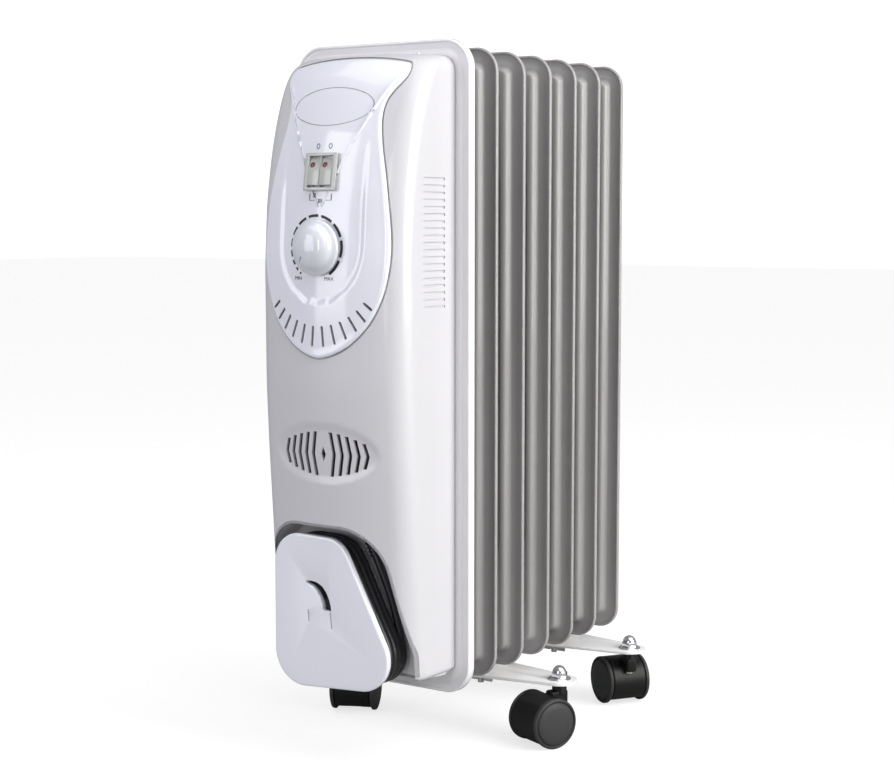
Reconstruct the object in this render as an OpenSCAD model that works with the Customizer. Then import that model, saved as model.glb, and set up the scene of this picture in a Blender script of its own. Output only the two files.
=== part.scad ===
// Oil filled radiator heater: seven welded fins on two oil headers, a moulded
// control housing on the front fin, a cord winder below it and four swivel casters.
// The fins stand one behind the other along Y, with the controls facing -Y.

/* [Fins] */
// Number of fins
fin_count = 7; // [6:1:9]
// Width of a fin
fin_w = 184; // [176:1:190]
// Height of a fin
fin_h = 580; // [570:1:590]
// Distance from one fin to the next
fin_pitch = 48; // [44:1:52]
// Height of the fins' lower edge above the floor
fin_base = 72; // [70:1:76]
// Corner radius of a fin
fin_corner = 23; // [18:1:26]
// Thickness of the oil chamber in a fin
chamber_t = 18; // [14:1:20]

/* [Oil headers] */
// Outer radius of the hubs that join the fins
hub_r = 26; // [24:0.5:27]
// Height of the lower hubs above the fin's edge
hub_inset = 45; // [42:1:50]

/* [Control housing] */
// Half of the housing's width
house_half_w = 79.5; // [76:0.5:80]
// Height of the housing's lower edge above the floor
house_base = 90; // [88:1:92]
// Wall thickness of the housing
wall = 2.5; // [2:0.1:3]
// How far the middle of the front stands out past its edges
crown = 11; // [8:0.5:12]

/* [Controls] */
// Height of the thermostat knob's centre
knob_z = 473; // [470:1:476]
// Radius of the knob's skirt
knob_r = 24.5; // [22:0.5:25]
// Height of the power switch's centre
switch_z = 538; // [535:1:541]
// Width of one rocker
rocker_w = 12; // [10:0.5:12.5]
// Height of one rocker
rocker_h = 27; // [24:0.5:28]

/* [Mains lead] */
// Diameter of the lead
cord_d = 7; // [6:0.1:7]
// Turns of the lead on the winder
cord_turns = 4; // [3:1:4]

/* [Casters] */
// Radius of a caster wheel
wheel_r = 24; // [22:0.5:25]
// Sideways distance from the middle of the heater to a caster stem
stem_x = 118; // [112:1:124]
// Distance from a stem to the wheel axle
trail = 20; // [18:0.5:22]

/* [Hidden] */
CASTERS = ["front_right", "front_left", "rear_right", "rear_left"];
FINS = [for (i = [1:fin_count]) str("fin_", i)];
HOODS = [for (c = CASTERS) str("caster_hood_", c)];
AXLES = [for (c = CASTERS) str("caster_axle_", c)];
OUTER_WHEELS = [for (c = CASTERS) str("wheel_outer_", c)];
INNER_WHEELS = [for (c = CASTERS) str("wheel_inner_", c)];
CORE = ["front_plate", "rear_plugs", "heating_element", "element_flange", "element_gasket",
    "element_terminals", "casing", "control_panel", "casing_tabs", "casing_screws", "heat_shield",
    "thermostat", "thermostat_shaft", "knob", "switch_body", "rocker_left", "rocker_right",
    "rocker_lens_left", "rocker_lens_right", "thermal_cutout", "terminal_block", "wiring",
    "cord_clamp", "strain_relief", "reel_hub", "cord_plate", "reel_screws", "mains_cord",
    "cord_coil", "cord_tail", "plug", "plug_pins", "front_bracket", "rear_bracket",
    "u_bolts", "wing_nuts", "caster_stems", "caster_nuts"];

// Reach of the knob in front of the first fin, and of the rear casters behind it:
// they centre the heater on Y
knob_face_depth = 117;
rear_reach = (fin_count - 1) * fin_pitch + 19.2;
// Depth of the front plate's face, on which the housing sits
front_skin = 4.4;
first_y = (knob_face_depth - rear_reach) / 2;
last_y = first_y + (fin_count - 1) * fin_pitch;
fin_top = fin_base + fin_h;
lower_hub_z = fin_base + hub_inset;
upper_hub_z = fin_top - hub_inset;
// Radius of the first fin's socket for the heating element, inside the housing
socket_r = hub_r - 2;

// Front housing: depth of its front edge at a row of heights, from the base to the top
HOUSE_DEPTHS = [[house_base, 67], [house_base + 4, 70], [135, 73.5], [213, 79], [292, 84.5],
    [350, 87.5], [461, 88], [513, 84.5], [552, 78], [578, 71.5], [605, 62.5], [622, 54],
    [634, 45], [641, 34]];
house_corner = 16;
plate_grow = 4;

// Panel and cord plate outlines: circles whose common outline is the piece
CORD_PLATE = [[-34, 189, 28], [-4, 190, 26], [33, 112, 30], [-30, 110, 32]];
RECESS = [[-34, 186, 40], [12, 178, 48], [33, 112, 42], [33, 40, 42], [-34, 40, 40]];
recess_floor = 46;
hub_floor = recess_floor + 2.5;
coil_back = 49.5;
coil_depth = cord_turns * (cord_d + 0.2);
plate_back = 80.5;
plate_front = 86;

// Casters: heading is the direction in which the wheels trail, seen from above
front_stem_y = first_y + 2.5 * fin_pitch;
rear_stem_y = last_y - 0.5 * fin_pitch;
HEADINGS = [246, 294, 145, 35];
bracket_top = 60;
bracket_t = 3;

STEEL = "Gainsboro";
CHROME = "Silver";
WHITE = "WhiteSmoke";
LILAC = "Lavender";
BLACK = [0.09, 0.1, 0.09];

// --- helpers ---------------------------------------------------------------

function fin_y(i) = first_y + (i - 1) * fin_pitch;
function ahead(d) = first_y - d;

// Extrudes a drawing of the X-Z plane from depth y0 to y0 + t along Y
module slab(y0, t) {
    translate([0, y0 + t, 0]) rotate([90, 0, 0]) linear_extrude(t) children();
}

// Upright rectangle with round corners, its lower edge at z0
module rounded(w, h, r, z0) {
    for (sx = [-1, 1], z = [z0 + r, z0 + h - r])
        translate([sx * (w / 2 - r), z]) circle(r, $fn = 32);
    translate([-w / 2 + r, z0]) square([w - 2 * r, h]);
    translate([-w / 2, z0 + r]) square([w, h - 2 * r]);
}

// Round rod along Y from y0 to y1 at height z
module rod(x, z, y0, y1, r) {
    translate([x, y1, z]) rotate([90, 0, 0]) cylinder(h = y1 - y0, r = r, $fn = 48);
}

// Outline that wraps a list of circles [x, z, radius], grown by an amount
module wrapped(circles, grow = 0) {
    hull() for (c = circles) translate([c[0], c[1]]) circle(c[2] + grow, $fn = 48);
}

function unit(v) = v / norm(v);

// Point on a smooth curve through the route p, at the fraction t past point i
function on_route(p, i, t) =
    let (last = len(p) - 1,
        a = p[max(i - 1, 0)], b = p[i], c = p[min(i + 1, last)], d = p[min(i + 2, last)])
    0.5 * (2 * b + (c - a) * t + (2 * a - 5 * b + 4 * c - d) * pow(t, 2)
        + (3 * b - a - 3 * c + d) * pow(t, 3));
function smooth_route(p, n) =
    concat([for (i = [0:len(p) - 2], k = [0:n - 1]) on_route(p, i, k / n)], [p[len(p) - 1]]);
function heading(c, i) = unit(c[min(i + 1, len(c) - 1)] - c[max(i - 1, 0)]);
// Side vectors carried along the curve so that the tube doesn't twist
function sides_of(c, i, v) =
    i == len(c) ? [] : let (t = heading(c, i), s = unit(v - (v * t) * t))
        concat([s], sides_of(c, i + 1, s));

// Round tube swept along the route, with n rings for each stretch of it
module tube(route, r, n, sides = 8) {
    c = smooth_route(route, n);
    t0 = heading(c, 0);
    s = sides_of(c, 0, abs(t0[2]) < 0.8 ? [0, 0, 1] : [1, 0, 0]);
    rings = len(c);
    pts = [for (i = [0:rings - 1], k = [0:sides - 1])
        c[i] + r * (cos(360 * k / sides) * s[i]
            + sin(360 * k / sides) * cross(heading(c, i), s[i]))];
    walls = [for (i = [0:rings - 2], k = [0:sides - 1])
        let (a = i * sides + k, b = i * sides + (k + 1) % sides)
        [b, a, a + sides, b + sides]];
    first = [[for (k = [0:sides - 1]) k]];
    last = [[for (k = [sides - 1:-1:0]) (rings - 1) * sides + k]];
    polyhedron(points = pts, faces = concat(first, walls, last), convexity = 6);
}

// --- fins and oil circuit --------------------------------------------------

// Chamber or its hollow: a rounded block with sloping edges
module chamber(inset, t, slope) {
    hull() {
        slab(-t / 2 + slope, t - 2 * slope)
            rounded(fin_w - 2 * inset, fin_h - 2 * inset, fin_corner - 7, fin_base + inset);
        slab(-t / 2, t)
            rounded(fin_w - 2 * inset - 2 * slope, fin_h - 2 * inset - 2 * slope,
                fin_corner - 10, fin_base + inset + slope);
    }
}

// One fin: two pressed sheets welded round the edge, with half a hub on each side
module fin(i) {
    front = i == 1 ? -22 : -fin_pitch / 2;
    back = i == fin_count ? 13 : fin_pitch / 2;
    front_upper = i == 1 ? -2 : front;
    color("Silver") translate([0, fin_y(i), 0]) difference() {
        union() {
            slab(-0.9, 1.8) rounded(fin_w, fin_h, fin_corner, fin_base);
            slab(-2.2, 4.4) difference() {
                rounded(fin_w, fin_h, fin_corner, fin_base);
                rounded(fin_w - 6, fin_h - 6, fin_corner - 3, fin_base + 3);
            }
            if (i > 1) chamber(12, chamber_t, 4);
            if (i == 1) translate([0, 3.5, 0]) chamber(12, chamber_t - 7, 3.5);
            rod(0, lower_hub_z, i == 1 ? -2 : front, back, hub_r);
            if (i == 1) rod(0, lower_hub_z, front, 0, socket_r);
            rod(0, upper_hub_z, front_upper, back, hub_r);
        }
        if (i > 1) chamber(13.2, chamber_t - 2, 4);
        if (i == 1) translate([0, 3.5, 0]) chamber(13.2, chamber_t - 9, 3.5);
        rod(0, lower_hub_z, front - 1, back + 1, hub_r - 4);
        if (i > 1) rod(0, upper_hub_z, front - 1, back + 1, hub_r - 4);
        if (i == 1) rod(0, upper_hub_z, 0, back + 1, hub_r - 4);
    }
}

// Caps that close both headers behind the last fin; the upper one is the filler plug
module rear_plugs() {
    y0 = last_y + 13;
    color(STEEL) {
        for (z = [lower_hub_z, upper_hub_z]) {
            rod(0, z, y0, y0 + 2, hub_r);
            rod(0, z, y0 - 6, y0 + 0.1, hub_r - 4.05);
        }
        translate([0, y0 + 4, upper_hub_z]) rotate([90, 0, 0])
            cylinder(h = 2.5, r = 11, $fn = 6);
        rod(0, lower_hub_z, y0 + 1.9, y0 + 3, 14);
    }
}

// Two bent tubular heaters lying in the lower header
module heating_element() {
    y0 = ahead(26);
    for (side = [-1, 1], r = 3.2)
        color("DarkGray") {
            for (z = [-7, 7])
                rod(side * 9, lower_hub_z + z, y0, last_y - 20, r);
            translate([side * 9, last_y - 20, lower_hub_z]) rotate([0, 90, 0])
                rotate_extrude(angle = 180, $fn = 48) translate([7, 0]) circle(r, $fn = 32);
        }
}

// Plate that carries the heaters and closes the front of the lower header
module element_flange() {
    color("DarkGray") difference() {
        rod(0, lower_hub_z, ahead(28), ahead(24), socket_r);
        for (x = [-9, 9], z = [-7, 7]) rod(x, lower_hub_z + z, ahead(29), ahead(23), 3.2);
    }
}

module element_gasket() {
    color("DarkSlateGray") difference() {
        rod(0, lower_hub_z, ahead(24), ahead(22), socket_r);
        rod(0, lower_hub_z, ahead(25), ahead(21), socket_r - 3);
    }
}

// Spade terminals on the cold ends of the heaters
module element_terminals() {
    color("Khaki") for (x = [-9, 9], z = [-7, 7]) {
        rod(x, lower_hub_z + z, ahead(32), ahead(28), 3.6);
        translate([x - 2.4, ahead(42), lower_hub_z + z - 0.4]) cube([4.8, 10.5, 0.8]);
    }
}

// Places of the screws through the housing's top and bottom walls
FIXINGS = [[-50, 1], [50, 1], [-50, -1], [50, -1]];
fixing_depth = 20;
house_top = 641.05;

// White pressed cover with a rolled rim and tabs for the housing's screws
module front_plate() {
    w = fin_w + 2 * plate_grow;
    h = fin_h + 2 * plate_grow;
    z0 = fin_base - plate_grow;
    r = fin_corner + plate_grow;
    color(WHITE) difference() {
        union() {
            slab(ahead(front_skin), 1.8) rounded(w, h, r, z0);
            slab(ahead(front_skin + 0.8), 8) difference() {
                rounded(w, h, r, z0);
                rounded(w - 5, h - 5, r - 2.5, z0 + 2.5);
            }
        }
        rod(0, lower_hub_z, ahead(12), ahead(0), hub_r + 2);
    }
}

// Four tabs on the front plate that the housing is screwed to
module casing_tabs() {
    color(WHITE) difference() {
        for (f = FIXINGS)
            translate([f[0] - 6, ahead(28), f[1] > 0 ? house_top - 5.6 : house_base + 2.6])
                cube([12, 28 - front_skin, 3]);
        for (f = FIXINGS) translate([f[0], ahead(fixing_depth), 0]) cylinder(h = 700, r = 1.6, $fn = 32);
    }
}

// --- control housing -------------------------------------------------------

// Points of the housing's plan at one height: a crowned front that runs smoothly into
// its round corners
function plan(d, grow) =
    let (flat = house_half_w - house_corner, lean = atan(2 * crown / flat), n = 8,
        r0 = house_corner / (1 - sin(lean)), r = r0 + grow, inner = house_half_w - r0,
        arc = [for (k = [0:n]) let (t = lean + (90 - lean) * k / n)
            [inner + r * sin(t), -d + r0 * cos(lean) - r * cos(t)]])
    concat([[inner + r, -front_skin], [-inner - r, -front_skin]],
        [for (k = [n:-1:0]) [-arc[k][0], arc[k][1]]],
        [for (k = [1:11]) let (u = -1 + k / 6)
            [u * flat, -(d + grow) - crown * (1 - u * u)]],
        arc);

// Solid of the housing's outer shape, grown by an amount
module house(grow = 0) {
    translate([0, first_y, 0]) hull() for (s = HOUSE_DEPTHS)
        translate([0, 0, s[0] + (s[0] > 300 ? grow : -grow)])
            linear_extrude(0.05) polygon(plan(s[1], grow));
}

// Slot with round ends through the housing's front, turned in the X-Z plane
module front_slot(x, z, length, width, turn) {
    translate([x, ahead(60), z]) rotate([0, turn, 0]) rotate([90, 0, 0])
        linear_extrude(60) {
            square([width, length - width], center = true);
            for (s = [-1, 1]) translate([0, s * (length - width) / 2])
                circle(width / 2, $fn = 16);
        }
}

// Twelve vents fanned below the knob: [angle, length]
VENTS = [for (k = [0:11]) let (u = (k - 5.5) / 5.5) [50 * u, 18.5 - 8 * u * u]];
vent_centre_z = 464;
module panel_vents() {
    for (v = VENTS)
        front_slot(-(59 + v[1] / 2) * sin(v[0]), vent_centre_z - (59 + v[1] / 2) * cos(v[0]),
            v[1], 2.6, v[0]);
}

// Eleven slots of the lower grille, tallest in the middle
grille_z = 292;
module grille() {
    for (k = [-5:5])
        front_slot(k * 8.2, grille_z, k == 0 ? 14 : 40 - 0.7 * k * k, 3, 0);
}

// Louvres in the right and left walls
module side_louvres() {
    for (k = [0:18], sx = [-1, 1])
        translate([sx * house_half_w - 5, ahead(66), 421 + k * 6.4]) cube([10, 29, 2.6]);
}

// Housing shell with the cord recess moulded into its lower front
module casing() {
    color(LILAC) difference() {
        union() {
            difference() {
                house();
                translate([0, 0.2, 0]) house(-wall);
            }
            intersection() {
                house();
                slab(ahead(120), 120 - recess_floor + wall) wrapped(RECESS, wall);
            }
            rod(0, knob_z, ahead(97), ahead(94), 12);
            intersection() {
                house();
                relief_place() translate([-12, -10, -12.8]) cube([24, 20, 14]);
            }
        }
        slab(ahead(130), 130 - recess_floor) wrapped(RECESS);
        for (f = FIXINGS) translate([f[0], ahead(fixing_depth), f[1] > 0 ? 600 : 60])
            cylinder(h = 60, r = 1.7, $fn = 32);
        panel_vents();
        grille();
        side_louvres();
        switch_place() translate([0, 12, 0]) cube([30.6, 50, 29.6], center = true);
        rod(0, knob_z, ahead(110), ahead(80), 5);
        relief_place() cylinder(h = 30, r = 6.05, center = true, $fn = 48);
        for (x = [-22, 22]) rod(x, 150, ahead(60), ahead(40), 2.05);
    }
}

// Shield-shaped gloss insert over the upper front
module control_panel() {
    color("GhostWhite") difference() {
        intersection() {
            difference() {
                house(2.2);
                house(0.05);
            }
            slab(ahead(130), 110) panel_outline();
        }
        panel_vents();
        switch_place() {
            translate([0, 12, 0]) cube([30.6, 50, 29.6], center = true);
            translate([-17, -3.4, -16.5]) cube([34, 2.4, 33]);
        }
        rod(0, knob_z, ahead(120), ahead(80), 5);
    }
}

// Half-widths of the panel from its foot to its top
PANEL_HALF = [[0, 377], [14, 380], [28, 387], [41, 398], [52, 412], [61, 431], [66, 452],
    [67.5, 475], [65, 505], [60, 535], [54, 562], [50.5, 582], [51, 596], [55, 606],
    [61, 615], [64, 622], [63, 629], [57, 633], [30, 636.5], [0, 637.5]];
module panel_outline() {
    n = len(PANEL_HALF);
    polygon(concat(PANEL_HALF, [for (k = [n - 2:-1:1]) [-PANEL_HALF[k][0], PANEL_HALF[k][1]]]));
}

// Screws that hold the housing to the front plate's tabs
module casing_screws() {
    color(CHROME) for (f = FIXINGS)
        translate([f[0], ahead(fixing_depth), f[1] > 0 ? house_top : house_base])
            rotate([f[1] > 0 ? 180 : 0, 0, 0]) {
                cylinder(h = 9, r = 1.6, $fn = 32);
                translate([0, 0, -1.4]) cylinder(h = 1.4, r = 3.4, $fn = 48);
            }
}

// Bright metal sheet between the oil circuit and the electrical parts
module heat_shield() {
    color(CHROME) {
        slab(ahead(14.3), 0.8) rounded(130, 330, 8, 240);
        for (x = [-50, 50], z = [265, 545]) rod(x, z, ahead(13.6), ahead(front_skin), 4);
    }
}

// --- thermostat, switches and wiring ---------------------------------------

knob_back = 101.8;

// Bimetal thermostat behind the knob, with its neck through the housing
module thermostat() {
    color("Tan") {
        difference() {
            union() {
                translate([-15, ahead(94), knob_z - 14]) cube([30, 22, 28]);
                rod(0, knob_z, ahead(101.5), ahead(93.9), 4.7);
            }
            rod(0, knob_z, ahead(102), ahead(89.5), 3.05);
        }
        for (x = [-10, 10]) translate([x - 2.4, ahead(72.1), knob_z - 4]) cube([4.8, 8, 0.8]);
    }
}

module thermostat_shaft() {
    color(CHROME) difference() {
        rod(0, knob_z, ahead(112), ahead(90), 3);
        translate([-4, ahead(113), knob_z + 1.6]) cube([8, 10, 4]);
    }
}

// Domed thermostat knob with a bore for the flatted shaft
module knob() {
    color("White") difference() {
        union() {
            translate([0, ahead(knob_back), knob_z]) rotate([90, 0, 0])
                rotate_extrude($fn = 96) polygon([[0, 0], [knob_r, 0], [knob_r, 3],
                    [knob_r - 1, 5], [knob_r - 3, 7.5], [knob_r - 6.5, 11], [knob_r - 12, 14],
                    [knob_r - 18, 15.2], [0, 15.2]]);
        }
        rod(0, knob_z, ahead(112.2), ahead(100), 3.02);
    }
}

// Places its children at the switch opening, leaning with the housing's front
switch_lean = 9.4;
module switch_place() {
    translate([0, ahead(92.6), switch_z]) rotate([-switch_lean, 0, 0]) children();
}

// Frame and body of the double rocker switch
module switch_body() {
    color("Silver") switch_place() difference() {
        union() {
            translate([-17, -3.4, -16.5]) cube([34, 2.4, 33]);
            translate([-15, -1.1, -14.5]) cube([30, 26, 29]);
            for (x = [-8, 8], z = [-8, 8]) translate([x - 2.4, 24.9, z]) cube([4.8, 7, 0.8]);
        }
        for (x = [-6.6, 6.6])
            translate([x - rocker_w / 2 - 0.3, -4, -rocker_h / 2 - 0.4])
                cube([rocker_w + 0.6, 14, rocker_h + 0.8]);
        translate([-13.5, 4.4, 0]) rotate([0, 90, 0]) cylinder(h = 27, r = 1.5, $fn = 24);
    }
}

// One rocker: two faces that meet at a shallow angle, on pivot studs
rocker_tilt = -7;
module rocker(x) {
    color("Gainsboro") switch_place() translate([x, 4.4, 0]) {
        difference() {
            rotate([rocker_tilt, 0, 0]) rotate([0, 90, 0]) translate([0, 0, -rocker_w / 2])
                linear_extrude(rocker_w) polygon([[-12.9, -6.4], [0, -8.3], [12.9, -6.4],
                    [11, -1], [4, 3.4], [-4, 3.4], [-11, -1]]);
            rotate([rocker_tilt, 0, 0]) translate([0, -4, 5.5]) rotate([90, 0, 0])
                cylinder(h = 6, r = 2.85, $fn = 32);
        }
        rotate([0, 90, 0])
            cylinder(h = rocker_w + 1, r = 1.45, center = true, $fn = 24);
    }
}

module rocker_lens(x) {
    color("DarkRed") switch_place() translate([x, 4.4, 0]) rotate([rocker_tilt, 0, 0])
        translate([0, -4, 5.5]) rotate([90, 0, 0]) cylinder(h = 4.3, r = 2.8, $fn = 32);
}

// Disc cut-out that stops the heater when the first fin overheats
module thermal_cutout() {
    color("Sienna") {
        rod(0, 560, ahead(30), ahead(20.5), 8);
        rod(0, 560, ahead(20.6), ahead(14.3), 11);
        for (x = [-5, 5]) translate([x - 2, ahead(37), 560]) cube([4, 7.2, 0.8]);
    }
}

module terminal_block() {
    color("Ivory") difference() {
        translate([-27, ahead(32), 330]) cube([54, 17.7, 20]);
        for (k = [-2:2]) {
            rod(k * 10, 335, ahead(33), ahead(24), 2);
            rod(k * 10, 345, ahead(33), ahead(24), 2);
        }
    }
}

// Sleeved wires between the block, the controls and the heaters
BLOCK_Y = ahead(29);
WIRES = [
    [[-20, BLOCK_Y, 349.6], [-28, ahead(36), 380], [-26, ahead(52), 430], [-10, ahead(65), 469.4]],
    [[-10, BLOCK_Y, 349.6], [-14, ahead(40), 390], [20, ahead(50), 440], [10, ahead(65), 469.4]],
    [[10, BLOCK_Y, 349.6], [36, ahead(40), 390], [34, ahead(50), 470], [8, ahead(63), 525.4]],
    [[20, BLOCK_Y, 349.6], [46, ahead(38), 400], [42, ahead(42), 500], [5, ahead(36.4), 560.4]],
    [[0, BLOCK_Y, 330.4], [-8, ahead(36), 290], [-14, ahead(36), 200], [-9, ahead(40), 124.4]],
    [[12, BLOCK_Y, 330.4], [18, ahead(36), 290], [16, ahead(36), 200], [9, ahead(40), 124.4]]];
module wiring() {
    color("Firebrick") for (w = WIRES) tube(w, 1.4, 5, 6);
}

// --- cord winder -----------------------------------------------------------

// Clamp inside the housing that grips the lead above the recess
relief_turn = 155;
module relief_place() {
    translate([18.1, ahead(56), 222]) rotate([0, relief_turn, 0]) children();
}
module cord_clamp() {
    color("DimGray") relief_place() difference() {
        translate([-10, -8, -24]) cube([20, 16, 11]);
        translate([0, 0, -30]) cylinder(h = 30, r = cord_d / 2, $fn = 32);
    }
}

// Tapered rubber sleeve where the lead leaves the housing
relief_len = 26;
module strain_relief() {
    color(BLACK) relief_place() {
        difference() {
            union() {
                translate([0, 0, -12.9]) cylinder(h = 14, r = 6, $fn = 48);
                rotate_extrude($fn = 48)
                    polygon([[0, 0], [6, 0], [6, 3], [4.2, relief_len], [0, relief_len]]);
            }
            translate([0, 0, -20]) cylinder(h = 60, r = cord_d / 2, $fn = 32);
        }
    }
}

// Cup-shaped hub that the lead is wound on; its hollow stows the plug
module reel_hub() {
    color(LILAC) difference() {
        union() {
            slab(ahead(plate_back), plate_back - recess_floor) wrapped(CORD_PLATE, -9);
        }
        difference() {
            slab(ahead(plate_back + 1), plate_back + 1 - hub_floor) wrapped(CORD_PLATE, -11.5);
            for (x = [-22, 22]) rod(x, 150, ahead(plate_back), ahead(recess_floor), 5);
        }
        translate([20, ahead(90), 84]) cube([50, 90 - hub_floor, 62]);
        for (x = [-22, 22]) rod(x, 150, ahead(plate_back + 1), ahead(40), 2.05);
    }
}

// Front plate of the winder, with the half-round clip cut through it
module cord_plate() {
    color("GhostWhite") difference() {
        slab(ahead(plate_front), plate_front - plate_back) wrapped(CORD_PLATE);
        slab(ahead(90), 20) difference() {
            translate([-4, 157]) circle(16, $fn = 64);
            translate([-4, 157]) circle(12.5, $fn = 64);
            translate([-24, 130]) square([17, 60]);
        }
        for (x = [-5, 9]) translate([x, ahead(90), 132]) cube([2.5, 20, 14]);
        for (x = [-22, 22]) {
            rod(x, 150, ahead(90), ahead(78), 2.2);
            rod(x, 150, ahead(90), ahead(84.5), 4.2);
        }
    }
}

module reel_screws() {
    color(CHROME) for (x = [-22, 22]) {
        rod(x, 150, ahead(84.6), ahead(42), 2);
        rod(x, 150, ahead(86), ahead(84.5), 3.9);
    }
}

// Stretch of the lead from the sleeve to the winding
relief_tip = [29.1, ahead(56), 198.4];
LEAD_IN = [[9.7, ahead(56), 240], [18.1, ahead(56), 222], relief_tip, [37, ahead(54.5), 181],
    [45, ahead(53.5), 163], [50, ahead(53), 145]];
module mains_cord() {
    color(BLACK) tube(LEAD_IN, cord_d / 2, 4, 8);
}

// The wound turns as one closed band
module cord_coil() {
    color(BLACK) slab(ahead(coil_back + coil_depth), coil_depth) difference() {
        wrapped(CORD_PLATE, -1);
        wrapped(CORD_PLATE, -8.6);
    }
}

// Last stretch of the lead, from the winding to the plug in the hub
TAIL = [[44, ahead(68), 136], [45, ahead(65), 124], [40, ahead(62), 112], [30, ahead(60), 104],
    [16, ahead(59.5), 101], [8, ahead(59.5), 101]];
module cord_tail() {
    color(BLACK) tube(TAIL, cord_d / 2, 4, 8);
}

module plug() {
    color(BLACK) {
        translate([-24, ahead(hub_floor + 22), 91.5]) cube([18, 22, 19]);
        hull() {
            translate([-6.1, ahead(hub_floor + 21), 92.5]) cube([0.1, 20, 17]);
            translate([7, ahead(hub_floor + 16), 96]) cube([1, 10, 10]);
        }
    }
}

module plug_pins() {
    color("Goldenrod") {
        for (z = [94.6, 107.4])
            translate([-42, ahead(hub_floor + 16.5), z - 0.75]) cube([18, 6.3, 1.5]);
        translate([-44, ahead(hub_floor + 5), 101]) rotate([0, 90, 0])
            cylinder(h = 20, r = 2.4, $fn = 32);
    }
}

// --- underframe ------------------------------------------------------------

// Cross plate under the fins, with folded flanges that carry two of them
module bracket(y) {
    color(WHITE) translate([0, y, bracket_top - bracket_t]) difference() {
        union() {
            linear_extrude(bracket_t) {
                hull() for (sx = [-1, 1]) {
                    translate([sx * stem_x, 0]) circle(17, $fn = 48);
                    translate([sx * 30, 0]) square([20, 60], center = true);
                }
            }
            for (s = [-1, 1]) translate([-45, s * fin_pitch / 2 - 1.5, bracket_t - 0.1])
                cube([90, 3, fin_base - bracket_top + 0.1]);
        }
        for (sx = [-1, 1]) {
            translate([sx * stem_x, 0, -1]) cylinder(h = 5, r = 4.1, $fn = 48);
            translate([sx * (hub_r + 3.3), 0, -1]) cylinder(h = 5, r = 3.1, $fn = 48);
        }
    }
}

// Round bolts bent over the lower hubs
module u_bolts() {
    color(CHROME) for (y = [front_stem_y, rear_stem_y]) translate([0, y, lower_hub_z]) {
        rotate([90, 0, 0]) rotate_extrude(angle = 180, $fn = 64)
            translate([hub_r + 3.3, 0]) circle(3, $fn = 32);
        for (sx = [-1, 1]) translate([sx * (hub_r + 3.3), 0, 44 - lower_hub_z])
            cylinder(h = lower_hub_z - 44, r = 3, $fn = 32);
    }
}

module wing_nuts() {
    color(CHROME) for (y = [front_stem_y, rear_stem_y], sx = [-1, 1])
        translate([sx * (hub_r + 3.3), y, 49]) difference() {
            union() {
                cylinder(h = 8, r1 = 5, r2 = 6.5, $fn = 32);
                for (a = [0, 180]) rotate([0, 0, a]) translate([4, -1, -3]) cube([9, 2, 8]);
            }
            translate([0, 0, -4]) cylinder(h = 14, r = 3, $fn = 32);
        }
}

// --- casters ---------------------------------------------------------------

function stem_pos(i) = [(i % 2 == 0 ? 1 : -1) * stem_x, i < 2 ? front_stem_y : rear_stem_y];

// Places its children at a caster: stem on the origin, wheels trailing along +X
module caster_place(i) {
    translate([stem_pos(i)[0], stem_pos(i)[1], 0]) rotate([0, 0, HEADINGS[i]]) children();
}

// Threaded stems, fixed in the brackets, with a head inside each hood
module caster_stems() {
    color(CHROME) for (i = [0:3]) caster_place(i) {
        translate([0, 0, 34]) cylinder(h = 38, r = 4, $fn = 48);
        translate([0, 0, 55]) cylinder(h = 2, r = 7, $fn = 48);
    }
}

// Domed flange nuts on top of the brackets
module caster_nuts() {
    color(CHROME) for (i = [0:3]) caster_place(i) translate([0, 0, bracket_top]) difference() {
        union() {
            cylinder(h = 2, r = 11, $fn = 48);
            translate([0, 0, 1.9]) cylinder(h = 6, r = 8, $fn = 6);
            translate([0, 0, 7.8]) rotate_extrude($fn = 48)
                intersection() {
                    translate([0, -1]) circle(7, $fn = 48);
                    square([8, 8]);
                }
        }
        translate([0, 0, -1]) cylinder(h = 13.1, r = 4, $fn = 48);
    }
}

// Hood: a web with the stem socket and axle bore, and a mudguard over both wheels
guard_r = wheel_r - 0.2;
module caster_hood(i) {
    color(BLACK) caster_place(i) difference() {
        union() {
            translate([trail, 0, wheel_r]) rotate([90, 0, 0]) difference() {
                cylinder(h = 36, r = guard_r, center = true, $fn = 64);
                translate([0, 0, 5.6]) cylinder(h = 14, r = guard_r - 1.7, $fn = 64);
                translate([0, 0, -19.6]) cylinder(h = 14, r = guard_r - 1.7, $fn = 64);
                translate([-16, -30, -20]) cube([32, 16, 40]);
            }
            translate([-7, -5.6, 36]) cube([20, 11.2, 14]);
            translate([0, 0, 46]) cylinder(h = 8.6, r = 7, $fn = 48);
        }
        translate([0, 0, 33.5]) cylinder(h = 30, r = 4.06, $fn = 48);
        translate([trail, 0, wheel_r]) rotate([90, 0, 0])
            cylinder(h = 60, r = 3.02, center = true, $fn = 48);
    }
}

module caster_axle(i) {
    color(CHROME) caster_place(i) translate([trail, 0, wheel_r]) rotate([90, 0, 0])
        cylinder(h = 41, r = 3, center = true, $fn = 48);
}

// Wheel: a drum under the mudguard and a round cheek outside it
module caster_wheel(i, side) {
    color(BLACK) caster_place(i) translate([trail, 0, wheel_r])
        rotate([side * 90, 0, 0]) rotate_extrude($fn = 64)
            polygon([[3.05, 6], [21.6, 6], [21.6, 18.4], [wheel_r - 0.6, 18.4],
                [wheel_r, 19], [wheel_r, 21.4], [wheel_r - 1.6, 23], [8, 24], [0, 24.2],
                [0, 20.8], [3.05, 20.8]]);
}

// --- assembly --------------------------------------------------------------

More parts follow.
